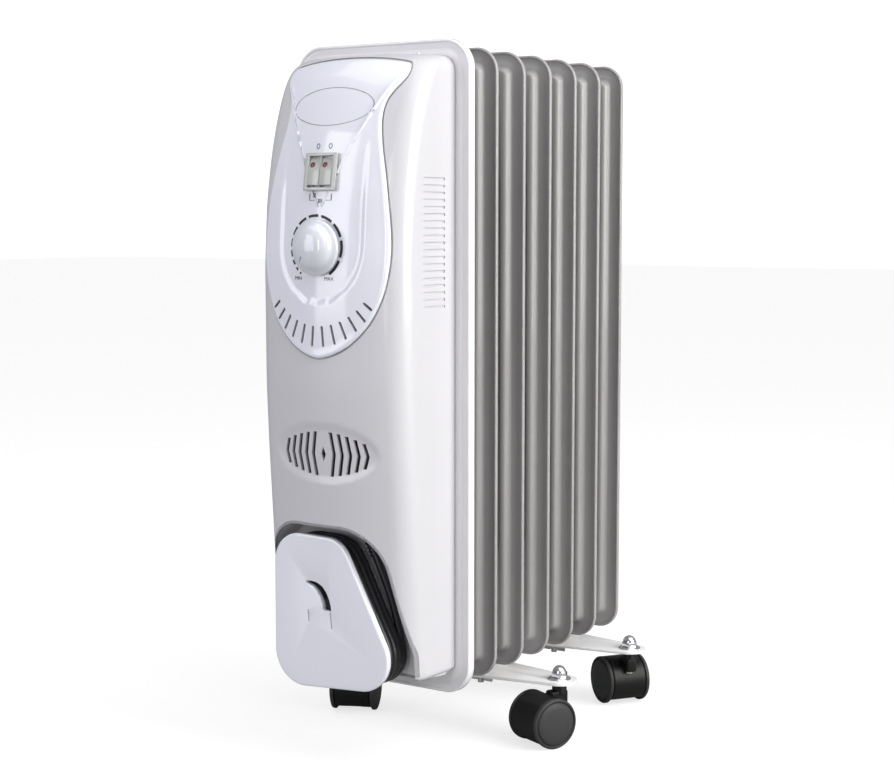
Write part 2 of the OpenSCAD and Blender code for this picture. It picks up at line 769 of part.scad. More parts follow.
for (i = [1:fin_count]) fin(i);
front_plate();
rear_plugs();
heating_element();
element_flange();
element_gasket();
element_terminals();
casing();
control_panel();
casing_tabs();
casing_screws();
heat_shield();
thermostat();
thermostat_shaft();
knob();
switch_body();
rocker(-6.6);  // rocker_left
rocker(6.6);  // rocker_right
rocker_lens(-6.6);  // rocker_lens_left
rocker_lens(6.6);  // rocker_lens_right
thermal_cutout();
terminal_block();
wiring();
cord_clamp();
strain_relief();
reel_hub();
cord_plate();
reel_screws();
mains_cord();
cord_coil();
cord_tail();
plug();
plug_pins();
bracket(front_stem_y);  // front_bracket
bracket(rear_stem_y);  // rear_bracket
u_bolts();
wing_nuts();
caster_stems();
caster_nuts();
for (i = [0:3]) {
    caster_hood(i);
    caster_axle(i);
    caster_wheel(i, 1);
    caster_wheel(i, -1);
}
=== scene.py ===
"""Oil filled radiator heater with seven pressed fins, a moulded control housing, a cord
winder and four twin-wheel casters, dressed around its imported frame."""

import logging
import math
from collections.abc import Callable, Sequence
from dataclasses import dataclass, field
from enum import Enum

import bpy
import numpy as np
from bpy.types import Material, Object
from mathutils import Matrix, Vector

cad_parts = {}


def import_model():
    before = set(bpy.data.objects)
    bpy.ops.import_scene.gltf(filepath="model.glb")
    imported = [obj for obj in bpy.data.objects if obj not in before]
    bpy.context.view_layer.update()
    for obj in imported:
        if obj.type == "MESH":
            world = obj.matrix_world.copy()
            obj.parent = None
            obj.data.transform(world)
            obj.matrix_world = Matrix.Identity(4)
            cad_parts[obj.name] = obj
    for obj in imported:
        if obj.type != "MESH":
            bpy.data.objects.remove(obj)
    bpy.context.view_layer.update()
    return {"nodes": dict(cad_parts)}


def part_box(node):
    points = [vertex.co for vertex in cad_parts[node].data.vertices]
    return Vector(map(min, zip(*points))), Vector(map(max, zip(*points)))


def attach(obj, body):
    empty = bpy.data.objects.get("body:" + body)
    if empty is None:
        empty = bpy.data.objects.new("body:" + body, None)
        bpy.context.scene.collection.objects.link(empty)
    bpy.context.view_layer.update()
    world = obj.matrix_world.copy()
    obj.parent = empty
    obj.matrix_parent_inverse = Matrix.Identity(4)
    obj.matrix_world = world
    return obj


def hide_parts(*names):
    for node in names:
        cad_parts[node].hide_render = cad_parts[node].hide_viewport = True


LOG = logging.getLogger("heater")
MM = 0.001
Point = tuple[float, float]
CASTERS = ("front_right", "front_left", "rear_right", "rear_left")


# --- workbench: small steps shared by all the pieces ------------------------------------


def deselect() -> None:
    """Deselects every object."""
    bpy.ops.object.select_all(action="DESELECT")


def activate(obj: Object) -> None:
    """Makes obj the only selected and the active object.

    Args:
        obj: the object that the next operator acts on.
    """
    deselect()
    obj.select_set(True)
    bpy.context.view_layer.objects.active = obj


def edit(obj: Object, kind: str = "FACE") -> None:
    """Enters edit mode with everything selected.

    Args:
        obj: the mesh to edit.
        kind: the selection mode, VERT, EDGE or FACE.
    """
    activate(obj)
    bpy.ops.object.mode_set(mode="EDIT")
    bpy.ops.mesh.select_mode(type=kind)
    bpy.ops.mesh.select_all(action="SELECT")


def leave() -> None:
    """Returns to object mode."""
    bpy.ops.object.mode_set(mode="OBJECT")


def settle(obj: Object) -> Object:
    """Moves the object's place, turn and size into its mesh.

    Args:
        obj: the object to settle.

    Returns:
        The same object, at the origin.
    """
    activate(obj)
    bpy.ops.object.transform_apply(location=True, rotation=True, scale=True)
    return obj


def pick_faces(obj: Object, test: Callable[[Vector, Vector], bool]) -> None:
    """Selects, in object mode, only the faces that pass a test.

    Args:
        obj: the mesh whose faces are chosen.
        test: takes a face's centre and normal and says whether it is wanted.
    """
    mesh = obj.data
    for part in (mesh.vertices, mesh.edges, mesh.polygons):
        part.foreach_set("select", [False] * len(part))
    for face in mesh.polygons:
        face.select = test(face.center, face.normal)


def press(obj: Object, test: Callable[[Vector, Vector], bool],
          steps: Sequence[Point]) -> None:
    """Insets and raises the faces that pass a test, step by step.

    Args:
        obj: the piece.
        test: takes a face's centre and normal and says whether it is pressed.
        steps: (inset, rise) pairs in millimetres.
    """
    pick_faces(obj, test)
    bpy.ops.object.mode_set(mode="EDIT")
    bpy.ops.mesh.select_mode(type="FACE")
    for inset, rise in steps:
        bpy.ops.mesh.inset(thickness=inset * MM, depth=rise * MM)
    leave()


def ring_faces(rows: int, count: int) -> list[tuple[int, ...]]:
    """Gives the faces between closed rings of points.

    Args:
        rows: how many rings.
        count: points on each ring.

    Returns:
        The faces as lists of point numbers.
    """
    return [(i * count + k, i * count + (k + 1) % count,
             (i + 1) * count + (k + 1) % count, (i + 1) * count + k)
            for i in range(rows - 1) for k in range(count)]


def from_mesh(name: str, points: Sequence, faces: Sequence, edges: Sequence = ()) -> Object:
    """Makes an object of given points, in millimetres.

    Args:
        name: the piece's name.
        points: its points.
        faces: its faces as lists of point numbers.
        edges: loose edges, where there are no faces.

    Returns:
        The new object.
    """
    mesh = bpy.data.meshes.new(name)
    mesh.from_pydata([tuple(c * MM for c in p) for p in points], list(edges), list(faces))
    obj = bpy.data.objects.new(name, mesh)
    bpy.context.scene.collection.objects.link(obj)
    return obj


def mend(obj: Object) -> None:
    """Merges doubled points and turns all faces outwards.

    Args:
        obj: the mesh to mend.
    """
    edit(obj, "VERT")
    bpy.ops.mesh.remove_doubles(threshold=0.00001)
    bpy.ops.mesh.normals_make_consistent(inside=False)
    leave()


def turn_out(obj: Object) -> None:
    """Turns all faces outwards, with no points merged."""
    edit(obj)
    bpy.ops.mesh.normals_make_consistent(inside=False)
    leave()


def apply(obj: Object, kind: str, **settings: object) -> Object:
    """Adds a modifier and applies it.

    Args:
        obj: the piece.
        kind: the modifier's type.
        **settings: its properties.

    Returns:
        The same piece.
    """
    modifier = obj.modifiers.new(kind.title(), kind)
    for key, value in settings.items():
        setattr(modifier, key, value)
    activate(obj)
    bpy.ops.object.modifier_apply(modifier=modifier.name)
    return obj


def cut(obj: Object, cutter: Object, operation: str = "DIFFERENCE",
        solver: str = "EXACT") -> Object:
    """Cuts one closed mesh with another, which is then thrown away.

    Args:
        obj: the piece to cut.
        cutter: the tool.
        operation: DIFFERENCE, INTERSECT or UNION.
        solver: EXACT, or FAST for a shell that folds over itself, which EXACT empties.

    Returns:
        The cut piece.
    """
    apply(obj, "BOOLEAN", object=cutter, operation=operation, solver=solver)
    bpy.data.objects.remove(cutter)
    return obj


def soften(obj: Object, width: float = 0.6, segments: int = 2, angle: float = 34) -> Object:
    """Rounds the sharp edges and shades the rest smooth.

    Args:
        obj: the piece.
        width: the rounding's width in millimetres, or 0 for none.
        segments: steps across each rounding.
        angle: edges sharper than this many degrees count.

    Returns:
        The same piece.
    """
    if width:
        apply(obj, "BEVEL", width=width * MM, segments=segments, limit_method="ANGLE",
              angle_limit=math.radians(angle), harden_normals=False)
    activate(obj)
    bpy.ops.object.shade_smooth_by_angle(angle=math.radians(angle))
    return obj


def joined(name: str, pieces: Sequence[Object]) -> Object:
    """Joins pieces into the first one.

    Args:
        name: the result's name.
        pieces: what is joined.

    Returns:
        The joined piece.
    """
    deselect()
    for piece in pieces:
        piece.select_set(True)
    bpy.context.view_layer.objects.active = pieces[0]
    bpy.ops.object.join()
    pieces[0].name = name
    pieces[0].data.name = name
    return pieces[0]


def copied(obj: Object, name: str, matrix: Matrix) -> Object:
    """Copies a piece with its own mesh.

    Args:
        obj: the piece to copy.
        name: the copy's name.
        matrix: how the copy's mesh is moved.

    Returns:
        The copy.
    """
    copy = obj.copy()
    copy.data = obj.data.copy()
    copy.name = copy.data.name = name
    copy.data.transform(matrix)
    bpy.context.scene.collection.objects.link(copy)
    return copy


def shift(obj: Object, x: float = 0, y: float = 0, z: float = 0) -> Object:
    """Moves a piece's mesh by millimetres.

    Args:
        obj: the piece.
        x: sideways.
        y: backwards.
        z: upwards.

    Returns:
        The same piece.
    """
    obj.data.transform(Matrix.Translation((x * MM, y * MM, z * MM)))
    return obj


def turned(name: str, profile: Sequence[Point], axis: str = "Z", steps: int = 64) -> Object:
    """Spins a profile round an axis through the origin.

    Args:
        name: the piece's name.
        profile: (radius, distance along the axis) pairs in millimetres.
        axis: the axis it lies on, where Y points backwards.
        steps: faces round the piece.

    Returns:
        The spun piece.
    """
    obj = from_mesh(name, [(r, 0, a) for r, a in profile], [],
                    [(i, i + 1) for i in range(len(profile) - 1)])
    edit(obj, "VERT")
    bpy.ops.mesh.spin(steps=steps, angle=2 * math.pi, center=(0, 0, 0), axis=(0, 0, 1))
    leave()
    mend(obj)
    if axis == "Y":
        obj.data.transform(Matrix.Rotation(-math.pi / 2, 4, "X"))
    return obj


def bore(radius: float, reach: float, axis: str = "Z") -> Object:
    """Makes the tool for a round hole through the origin.

    Args:
        radius: the hole's radius in millimetres.
        reach: how far the tool goes each way.
        axis: the axis it lies on.

    Returns:
        The tool.
    """
    return turned("bore", [(0, -reach), (radius, -reach), (radius, reach), (0, reach)], axis)


def block(name: str, size: Sequence[float], place: Sequence[float]) -> Object:
    """Adds a box that is shaped further.

    Args:
        name: the piece's name.
        size: its size in millimetres.
        place: its centre.

    Returns:
        The box.
    """
    deselect()
    bpy.ops.mesh.primitive_cube_add(size=1, location=[c * MM for c in place])
    obj = bpy.context.object
    obj.name = obj.data.name = name
    obj.scale = [c * MM for c in size]
    return settle(obj)


def rounded_sheet(name: str, width: float, height: float, corner: float, base: float,
                  steps: Sequence[Point], segments: int = 12) -> Object:
    """Presses a sheet: a round-cornered face towards -Y, inset and raised step by step.

    Args:
        name: the piece's name.
        width: its width in millimetres.
        height: its height.
        corner: its corner radius.
        base: its lower edge above the floor.
        steps: (inset, rise towards -Y) pairs.
        segments: faces round each corner.

    Returns:
        The pressed sheet, its outline in the plane Y = 0.
    """
    deselect()
    bpy.ops.mesh.primitive_plane_add(size=1, rotation=(math.pi / 2, 0, 0),
                                     location=(0, 0, (base + height / 2) * MM))
    obj = bpy.context.object
    obj.name = obj.data.name = name
    obj.scale = (width * MM, height * MM, 1)
    settle(obj)
    edit(obj, "VERT")
    bpy.ops.mesh.bevel(offset=corner * MM, segments=segments, affect="VERTICES")
    bpy.ops.mesh.select_mode(type="FACE")
    bpy.ops.mesh.select_all(action="SELECT")
    for inset, rise in steps:
        bpy.ops.mesh.inset(thickness=inset * MM, depth=rise * MM)
    leave()
    return obj


def prism(name: str, outline: Sequence[Point], y0: float, y1: float) -> Object:
    """Extrudes an outline of the X-Z plane along Y.

    Args:
        name: the piece's name.
        outline: its points in millimetres, in either direction.
        y0: where it starts.
        y1: where it ends.

    Returns:
        The closed prism.
    """
    obj = from_mesh(name, [(x, y0, z) for x, z in outline], [list(range(len(outline)))])
    edit(obj)
    bpy.ops.mesh.extrude_region_move(TRANSFORM_OT_translate={"value": (0, (y1 - y0) * MM, 0)})
    leave()
    mend(obj)
    return obj


def smooth_loop(points: Sequence[Point], per_side: int = 8) -> list[Point]:
    """Runs a smooth closed curve through points.

    Args:
        points: the corners of the loop.
        per_side: points on each stretch.

    Returns:
        The denser loop.
    """
    p = np.array(points, float)
    n = len(p)
    out = []
    for i in range(n):
        a, b, c, d = p[i - 1], p[i], p[(i + 1) % n], p[(i + 2) % n]
        for k in range(per_side):
            t = k / per_side
            out.append(tuple(0.5 * (2 * b + (c - a) * t + (2 * a - 5 * b + 4 * c - d) * t**2
                                    + (3 * b - a - 3 * c + d) * t**3)))
    return out


def inward(points: Sequence[Point], distance: float) -> list[Point]:
    """Moves a smooth loop inwards by a distance.

    Args:
        points: the loop, anticlockwise with X right and Z up.
        distance: how far, in millimetres; negative is outwards.

    Returns:
        The moved loop.
    """
    p = np.array(points, float)
    along = np.roll(p, -1, 0) - np.roll(p, 1, 0)
    along /= np.linalg.norm(along, axis=1)[:, None]
    return [tuple(v) for v in p + distance * np.stack([-along[:, 1], along[:, 0]], 1)]


def wrapped(circles: Sequence[tuple[float, float, float]], grow: float = 0,
            count: int = 160) -> list[Point]:
    """Makes the outline that a belt takes round circles.

    Args:
        circles: (x, z, radius) of each.
        grow: added to each radius.
        count: how many directions are tried.

    Returns:
        The outline, anticlockwise.
    """
    out: list[Point] = []
    for k in range(count):
        a = 2 * math.pi * k / count
        u = (math.cos(a), math.sin(a))
        x, z, r = max(circles, key=lambda c: c[0] * u[0] + c[1] * u[1] + c[2])
        out.append((x + (r + grow) * u[0], z + (r + grow) * u[1]))
    return out


# --- finishes ---------------------------------------------------------------------------


class Grain(Enum):
    """How a surface's fine relief is made."""

    ORANGE_PEEL = "orange peel of sprayed paint"
    SATIN = "fine spark texture of moulded plastic"
    GLOSS = "faint waves of polished moulding"
    BRUSHED = "drawn lines of plated wire and sheet"
    WOVEN = "braid of a sleeve"


@dataclass(frozen=True)
class Finish:
    """One finish: its colour, gloss and the size of its relief.

    Attributes:
        name: the material's name.
        colour: the linear base colour.
        roughness: how matte it is.
        metallic: 1 for bare metal.
        coat: strength of the clear top layer.
        grain: the kind of relief.
        relief: strength of the relief.
        spread: how much the colour varies, as a share.
        shine: the strength of its plain reflection.
    """

    name: str
    colour: tuple[float, float, float]
    roughness: float
    metallic: float = 0.0
    coat: float = 0.0
    grain: Grain = Grain.SATIN
    relief: float = 0.05
    spread: float = 0.04
    shine: float = 0.5

    def scale(self) -> float:
        """Gives the relief's number of features for each metre."""
        return {Grain.ORANGE_PEEL: 420.0, Grain.SATIN: 1500.0, Grain.GLOSS: 60.0,
                Grain.BRUSHED: 900.0, Grain.WOVEN: 1200.0}[self.grain]

    def build(self) -> Material:
        """Makes the material's nodes.

        Returns:
            The material.
        """
        material = bpy.data.materials.new(self.name)
        material.use_nodes = True
        tree = material.node_tree
        nodes, link = tree.nodes, tree.links.new
        shader = nodes["Principled BSDF"]
        shader.inputs["Metallic"].default_value = self.metallic
        shader.inputs["Coat Weight"].default_value = self.coat
        shader.inputs["Coat Roughness"].default_value = 0.06
        shader.inputs["Specular IOR Level"].default_value = self.shine
        place = nodes.new("ShaderNodeTexCoord")
        stretch = nodes.new("ShaderNodeMapping")
        if self.grain is Grain.BRUSHED:
            stretch.inputs["Scale"].default_value = (1.0, 1.0, 0.06)
        link(place.outputs["Object"], stretch.inputs["Vector"])
        broad = nodes.new("ShaderNodeTexNoise")
        broad.inputs["Scale"].default_value = 9.0
        broad.inputs["Detail"].default_value = 5.0
        link(place.outputs["Object"], broad.inputs["Vector"])
        tint = nodes.new("ShaderNodeValToRGB")
        for stop, gain in zip(tint.color_ramp.elements, (1 - self.spread, 1 + self.spread)):
            stop.color = tuple(min(1.0, c * gain) for c in self.colour) + (1.0,)
        tint.color_ramp.elements[0].position = 0.3
        tint.color_ramp.elements[1].position = 0.7
        link(broad.outputs["Fac"], tint.inputs["Fac"])
        link(tint.outputs["Color"], shader.inputs["Base Color"])
        fine = nodes.new("ShaderNodeTexNoise")
        fine.inputs["Scale"].default_value = self.scale()
        fine.inputs["Detail"].default_value = 3.0
        link(stretch.outputs["Vector"], fine.inputs["Vector"])
        gloss = nodes.new("ShaderNodeMapRange")
        gloss.inputs["To Min"].default_value = max(0.0, self.roughness - 0.05)
        gloss.inputs["To Max"].default_value = min(1.0, self.roughness + 0.05)
        link(fine.outputs["Fac"], gloss.inputs["Value"])
        link(gloss.outputs["Result"], shader.inputs["Roughness"])
        bump = nodes.new("ShaderNodeBump")
        bump.inputs["Strength"].default_value = self.relief
        bump.inputs["Distance"].default_value = 0.0006
        height = fine.outputs["Fac"]
        if self.grain is Grain.WOVEN:
            weave = nodes.new("ShaderNodeTexWave")
            weave.inputs["Scale"].default_value = 420.0
            link(place.outputs["Object"], weave.inputs["Vector"])
            height = weave.outputs["Fac"]
        link(height, bump.inputs["Height"])
        link(bump.outputs["Normal"], shader.inputs["Normal"])
        return material


FINISHES = {
    f.name: f
    for f in (
        # The fins' grey is partly their paint and partly painted shade: it is darkened to stand in
        # for the shade between the fins.
        Finish("fin_paint_and_shade", (0.36, 0.352, 0.35), 0.36, coat=0.2, grain=Grain.ORANGE_PEEL,
               relief=0.12),
        Finish("plate_paint", (0.80, 0.79, 0.81), 0.25, coat=0.4, grain=Grain.ORANGE_PEEL,
               relief=0.08, spread=0.01),
        Finish("bracket_paint", (0.9, 0.9, 0.9), 0.3, coat=0.3, grain=Grain.ORANGE_PEEL,
               relief=0.12, spread=0.02),
        Finish("housing_plastic", (0.60, 0.597, 0.625), 0.3, coat=0.25, relief=0.02,
               spread=0.015),
        # The scoop's dark grey is painted shade: the crescent hollow is coloured darker to stand in
        # for its shadow.
        Finish("scoop_painted_shade", (0.30, 0.30, 0.33), 0.25, coat=0.3, grain=Grain.GLOSS,
               relief=0.02, spread=0.01),
        Finish("panel_plastic", (0.78, 0.79, 0.86), 0.14, coat=0.5, grain=Grain.GLOSS,
               relief=0.02, spread=0.01),
        Finish("knob_plastic", (0.66, 0.675, 0.73), 0.16, coat=0.6, grain=Grain.GLOSS,
               relief=0.02, spread=0.01),
        Finish("switch_plastic", (0.47, 0.49, 0.46), 0.22, coat=0.3, grain=Grain.GLOSS,
               relief=0.02, spread=0.02),
        Finish("lens_red", (0.16, 0.012, 0.025), 0.1, coat=0.8, grain=Grain.GLOSS,
               relief=0.02, spread=0.1),
        Finish("print_black", (0.012, 0.012, 0.016), 0.5, relief=0.02),
        Finish("caster_plastic", (0.006, 0.007, 0.006), 0.42, relief=0.10, spread=0.2,
               shine=0.25),
        Finish("wheel_plastic", (0.035, 0.037, 0.036), 0.5, relief=0.14, spread=0.12,
               shine=0.3),
        Finish("cord_rubber", (0.012, 0.012, 0.014), 0.33, relief=0.10, spread=0.2),
        Finish("plated_steel", (0.62, 0.62, 0.63), 0.3, metallic=1.0, grain=Grain.BRUSHED,
               relief=0.08),
        Finish("bright_chrome", (0.80, 0.80, 0.82), 0.12, metallic=1.0, grain=Grain.GLOSS,
               relief=0.05, spread=0.03),
        Finish("contact_brass", (0.72, 0.52, 0.22), 0.28, metallic=1.0, grain=Grain.BRUSHED,
               relief=0.08),
        Finish("heater_steel", (0.20, 0.17, 0.15), 0.45, metallic=1.0, grain=Grain.BRUSHED,
               relief=0.1, spread=0.25),
        Finish("shield_aluminium", (0.78, 0.78, 0.80), 0.25, metallic=1.0,
               grain=Grain.BRUSHED, relief=0.06),
        Finish("gasket_fibre", (0.06, 0.07, 0.06), 0.8, relief=0.3),
        Finish("insulator_resin", (0.58, 0.50, 0.36), 0.45, relief=0.1),
        Finish("sleeve_braid", (0.36, 0.05, 0.035), 0.7, grain=Grain.WOVEN, relief=0.5),
    )
}


class Dresser:
    """Builds each finish once and puts it on pieces."""

    def __init__(self) -> None:
        """Starts with nothing built."""
        self.built: dict[str, Material] = {}

    def dress(self, obj: Object, finish: str) -> Object:
        """Puts one finish on a piece.

        Args:
            obj: the piece.
            finish: the finish's name.

        Returns:
            The same piece.
        """
        if finish not in self.built:
            self.built[finish] = FINISHES[finish].build()
        obj.data.materials.clear()
        obj.data.materials.append(self.built[finish])
        return obj


DRESSER = Dresser()


def fit(obj: Object, finish: str, body: str = "heater",
        stands_for: Sequence[str] = ()) -> Object:
    """Dresses a finished piece and fixes it to its body.

    Args:
        obj: the piece.
        finish: the finish's name.
        body: the body that it rides on.
        stands_for: CAD nodes that it replaces.

    Returns:
        The same piece.
    """
    DRESSER.dress(obj, finish)
    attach(obj, body)
    if stands_for:
        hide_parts(*stands_for)
    return obj


# --- studio -----------------------------------------------------------------------------


@dataclass
class Studio:
    """Camera, floor and lights.

    Attributes:
        eye: the camera's place in metres.
        turn: its rotation in degrees.
        lens: its focal length in millimetres.
    """

    eye: tuple[float, float, float] = (0.9305, -1.4023, 0.4994)
    turn: tuple[float, float, float] = (84.548, 0.0, 33.402)
    lens: float = 70.5

    def camera(self) -> None:
        """Places the camera."""
        data = bpy.data.cameras.new("camera")
        data.lens = self.lens
        data.sensor_width = 36.0
        data.clip_end = 50.0
        camera = bpy.data.objects.new("camera", data)
        camera.location = self.eye
        camera.rotation_euler = [math.radians(a) for a in self.turn]
        bpy.context.scene.collection.objects.link(camera)
        bpy.context.scene.camera = camera

    def floor(self) -> None:
        """Lays a plain white floor."""
        deselect()
        bpy.ops.mesh.primitive_plane_add(size=30, location=(0, 0, 0))
        floor = bpy.context.object
        floor.name = "floor"
        material = bpy.data.materials.new("floor_white")
        material.use_nodes = True
        shader = material.node_tree.nodes["Principled BSDF"]
        shader.inputs["Base Color"].default_value = (0.36, 0.36, 0.36, 1)
        shader.inputs["Roughness"].default_value = 0.9
        shader.inputs["Specular IOR Level"].default_value = 0.1
        shader.inputs["Emission Color"].default_value = (1, 1, 1, 1)
        seen = material.node_tree.nodes.new("ShaderNodeLightPath")
        glow = material.node_tree.nodes.new("ShaderNodeMath")
        glow.operation = "MULTIPLY"
        glow.inputs[1].default_value = 0.72
        material.node_tree.links.new(seen.outputs["Is Camera Ray"], glow.inputs[0])
        material.node_tree.links.new(glow.outputs[0], shader.inputs["Emission Strength"])
        floor.data.materials.append(material)

    def lamp(self, name: str, place: Sequence[float], aim: Sequence[float],
             size: Point, power: float, tint: Sequence[float] = (1, 1, 1)) -> None:
        """Adds one soft box.

        Args:
            name: the lamp's name.
            place: where it stands, in metres.
            aim: the point that it faces.
            size: its width and height.
            power: its power in watts.
            tint: its colour.
        """
        data = bpy.data.lights.new(name, "AREA")
        data.shape = "RECTANGLE"
        data.size, data.size_y = size
        data.energy = power
        data.color = tint
        lamp = bpy.data.objects.new(name, data)
        lamp.location = place
        lamp.rotation_euler = (Vector(aim) - Vector(place)).to_track_quat("-Z", "Y").to_euler()
        bpy.context.scene.collection.objects.link(lamp)

    def sun(self, aim: Sequence[float], power: float, spread: float) -> None:
        """Adds one even, soft light from afar.

        Args:
            aim: the direction that it shines in.
            power: its power for each square metre.
            spread: its width in degrees.
        """
        data = bpy.data.lights.new("even_light", "SUN")
        data.energy = power
        data.angle = math.radians(spread)
        lamp = bpy.data.objects.new("even_light", data)
        lamp.rotation_euler = Vector(aim).to_track_quat("-Z", "Y").to_euler()
        bpy.context.scene.collection.objects.link(lamp)

    def world(self) -> None:
        """Surrounds the scene with even light, white where it is seen."""
        world = bpy.data.worlds.new("studio")
        bpy.context.scene.world = world
        world.use_nodes = True
        nodes, link = world.node_tree.nodes, world.node_tree.links.new
        soft = nodes["Background"]
        soft.inputs["Color"].default_value = (0.94, 0.94, 1.0, 1)
        soft.inputs["Strength"].default_value = 0.36
        white = nodes.new("ShaderNodeBackground")
        white.inputs["Color"].default_value = (1, 1, 1, 1)
        white.inputs["Strength"].default_value = 1.2
        path = nodes.new("ShaderNodeLightPath")
        mix = nodes.new("ShaderNodeMixShader")
        link(path.outputs["Is Camera Ray"], mix.inputs["Fac"])
        link(soft.outputs["Background"], mix.inputs[1])
        link(white.outputs["Background"], mix.inputs[2])
        link(mix.outputs["Shader"], nodes["World Output"].inputs["Surface"])

    def build(self) -> None:
        """Sets up the whole studio."""
        self.camera()
        self.floor()
        self.world()
        self.sun((-0.55, 0.10, -0.83), 1.08, 60)
        self.lamp("right_box", (2.2, 0.1, 1.1), (0, -0.05, 0.35), (1.6, 1.8), 58,
                  (1.0, 0.985, 0.95))
        self.lamp("top_box", (-0.4, -0.5, 2.2), (0, -0.1, 0.4), (1.2, 1.2), 6)
        self.lamp("front_box", (-1.2, -2.4, 1.0), (0, -0.2, 0.4), (1.0, 1.6), 17,
                  (0.94, 0.94, 1.0))
        self.lamp("strip_box", (0.32, -2.5, 0.85), (0.03, -0.2, 0.42), (0.24, 1.3), 8)
        bpy.context.scene.view_settings.view_transform = "Standard"
        LOG.info("studio ready")


# --- fins and header --------------------------------------------------------------------


@dataclass
class FinStack:
    """The seven fins, the front plate and the header's caps.

    Attributes:
        first: the first fin's plane on Y, in millimetres.
        count: how many fins.
        pitch: distance between fins.
        width: a fin's width.
        height: its height.
        base: its lower edge above the floor.
        corner: its corner radius.
        hub: the hubs' radius.
        inset: the hubs' distance from the fin's ends.
        press_steps: the (inset, rise) pairs that shape each sheet.
    """

    first: float
    count: int = 7
    pitch: float = 48.0
    width: float = 184.0
    height: float = 580.0
    base: float = 72.0
    corner: float = 23.0
    hub: float = 26.0
    inset: float = 45.0
    press_steps: tuple[Point, ...] = (
        (0.4, 1.6), (0.8, 0.6), (0.9, -0.1), (0.7, -1.2), (10.0, 0.0), (1.0, 0.5), (1.6, 2.8),
        (1.0, 2.75), (1.6, 1.1), (2.0, 0.4))

    def levels(self) -> tuple[float, float]:
        """Gives the heights of the lower and upper hubs."""
        return self.base + self.inset, self.base + self.height - self.inset

    def fin_body(self) -> Object:
        """Welds two sheets into a fin round the plane Y = 0, and sinks its channels.

        Returns:
            The fin without its hubs.
        """
        fin = rounded_sheet("fin_body", self.width, self.height, self.corner, self.base,
                            self.press_steps)
        apply(fin, "MIRROR", use_axis=(False, True, False), merge_threshold=0.00001)
        mend(fin)
        channels = []
        corners = ((1, 190, -90), (1, 530, 0), (-1, 530, 90), (-1, 190, 180))
        for x in (-42.0, 42.0):
            for side in (-1, 1):
                loop = [(x + sx * 20 + 8 * math.cos(a), z + 8 * math.sin(a))
                        for sx, z, start in corners
                        for a in (math.radians(start + 15 * k) for k in range(7))]
                channels.append(prism("channel", loop, side * 5.4, side * 14))
        fin = cut(fin, joined("channels", channels))
        return soften(fin, 1.2, 2, 38)

    def hub_ring(self, front: float, back: float, z: float) -> Object:
        """Spins one hub with its welded seam.

        Args:
            front: its front end on Y from the fin's plane.
            back: its back end.
            z: its height.

        Returns:
            The hub.
        """
        r = self.hub - 0.6
        profile = [(r - 3, front), (r, front), (r + 0.5, front + 0.4), (r + 0.6, front + 1.2),
                   (r, front + 1.9), (r, -12.5), (r + 1.2, -9.6), (r + 4.0, -8.2),
                   (r + 4.0, 8.2), (r + 1.2, 9.6), (r, 12.5), (r, back - 1.9),
                   (r + 0.6, back - 1.2), (r + 0.5, back - 0.4), (r, back), (r - 3, back)]
        if front > -12:
            profile = [(r - 3, front)] + profile[7:]
        if back < 14:
            profile = profile[:-6] + [(r, back), (r - 3, back)]
        return shift(turned("hub", profile + [profile[0]], "Y", 72), z=z)

    def build(self) -> None:
        """Builds, dresses and places every fin."""
        body = self.fin_body()
        for i in range(1, self.count + 1):
            y = self.first + (i - 1) * self.pitch
            front = -22.0 if i == 1 else -self.pitch / 2
            back = 13.0 if i == self.count else self.pitch / 2
            parts = [copied(body, "fin", Matrix.Identity(4))]
            for z in self.levels():
                upper_first = i == 1 and z > 300
                parts.append(self.hub_ring(-2.0 if upper_first else front, back, z))
            fin = shift(joined(f"pressed_fin_{i}", parts), y=y)
            if i == 1:
                self.flatten_front(fin, y)
            soften(fin, 0, angle=38)
            # The fin grey includes painted shade for the gaps between fins.
            fit(fin, "fin_paint_and_shade", stands_for=[f"fin_{i}"])
        bpy.data.objects.remove(body)
        self.front_plate()
        self.caps()
        LOG.info("fins done: %d", self.count)

    def flatten_front(self, fin: Object, y: float) -> None:
        """Presses the first fin's front flat, so that the plate lies on it.

        Args:
            fin: the first fin.
            y: its plane.
        """
        low = self.levels()[0]
        for v in fin.data.vertices:
            radius = math.hypot(v.co.x, v.co.z - low * MM)
            if radius > (self.hub + 0.4) * MM:
                v.co.y = max(v.co.y, (y - 2.0) * MM)
            elif v.co.y < (y - 2.4) * MM and radius > (self.hub - 2.2) * MM:
                gain = (self.hub - 2.2) * MM / radius
                v.co.x, v.co.z = v.co.x * gain, low * MM + (v.co.z - low * MM) * gain

    def front_plate(self) -> None:
        """Presses the white cover with its rolled rim and groove."""
        steps = [(0.3, 6.2), (0.5, 1.0), (0.9, 0.6), (0.9, -0.2), (0.6, -0.9), (0.5, -0.5),
                 (3.6, -0.1), (0.9, -0.45), (0.8, -0.1), (0.8, 0.45), (1.6, 0.2), (1.2, -0.1)]
        plate = rounded_sheet("front_cover", self.width + 8, self.height + 8, self.corner + 4,
                              self.base - 4, steps, 14)
        apply(plate, "SOLIDIFY", thickness=0.0015, offset=-1.0)
        hole = shift(bore(28, 20, "Y"), z=self.levels()[0])
        shift(plate, y=2.8)
        cut(plate, hole)
        shift(plate, y=self.first)
        soften(plate, 0.3, 2, 40)
        fit(plate, "plate_paint", stands_for=["front_plate"])

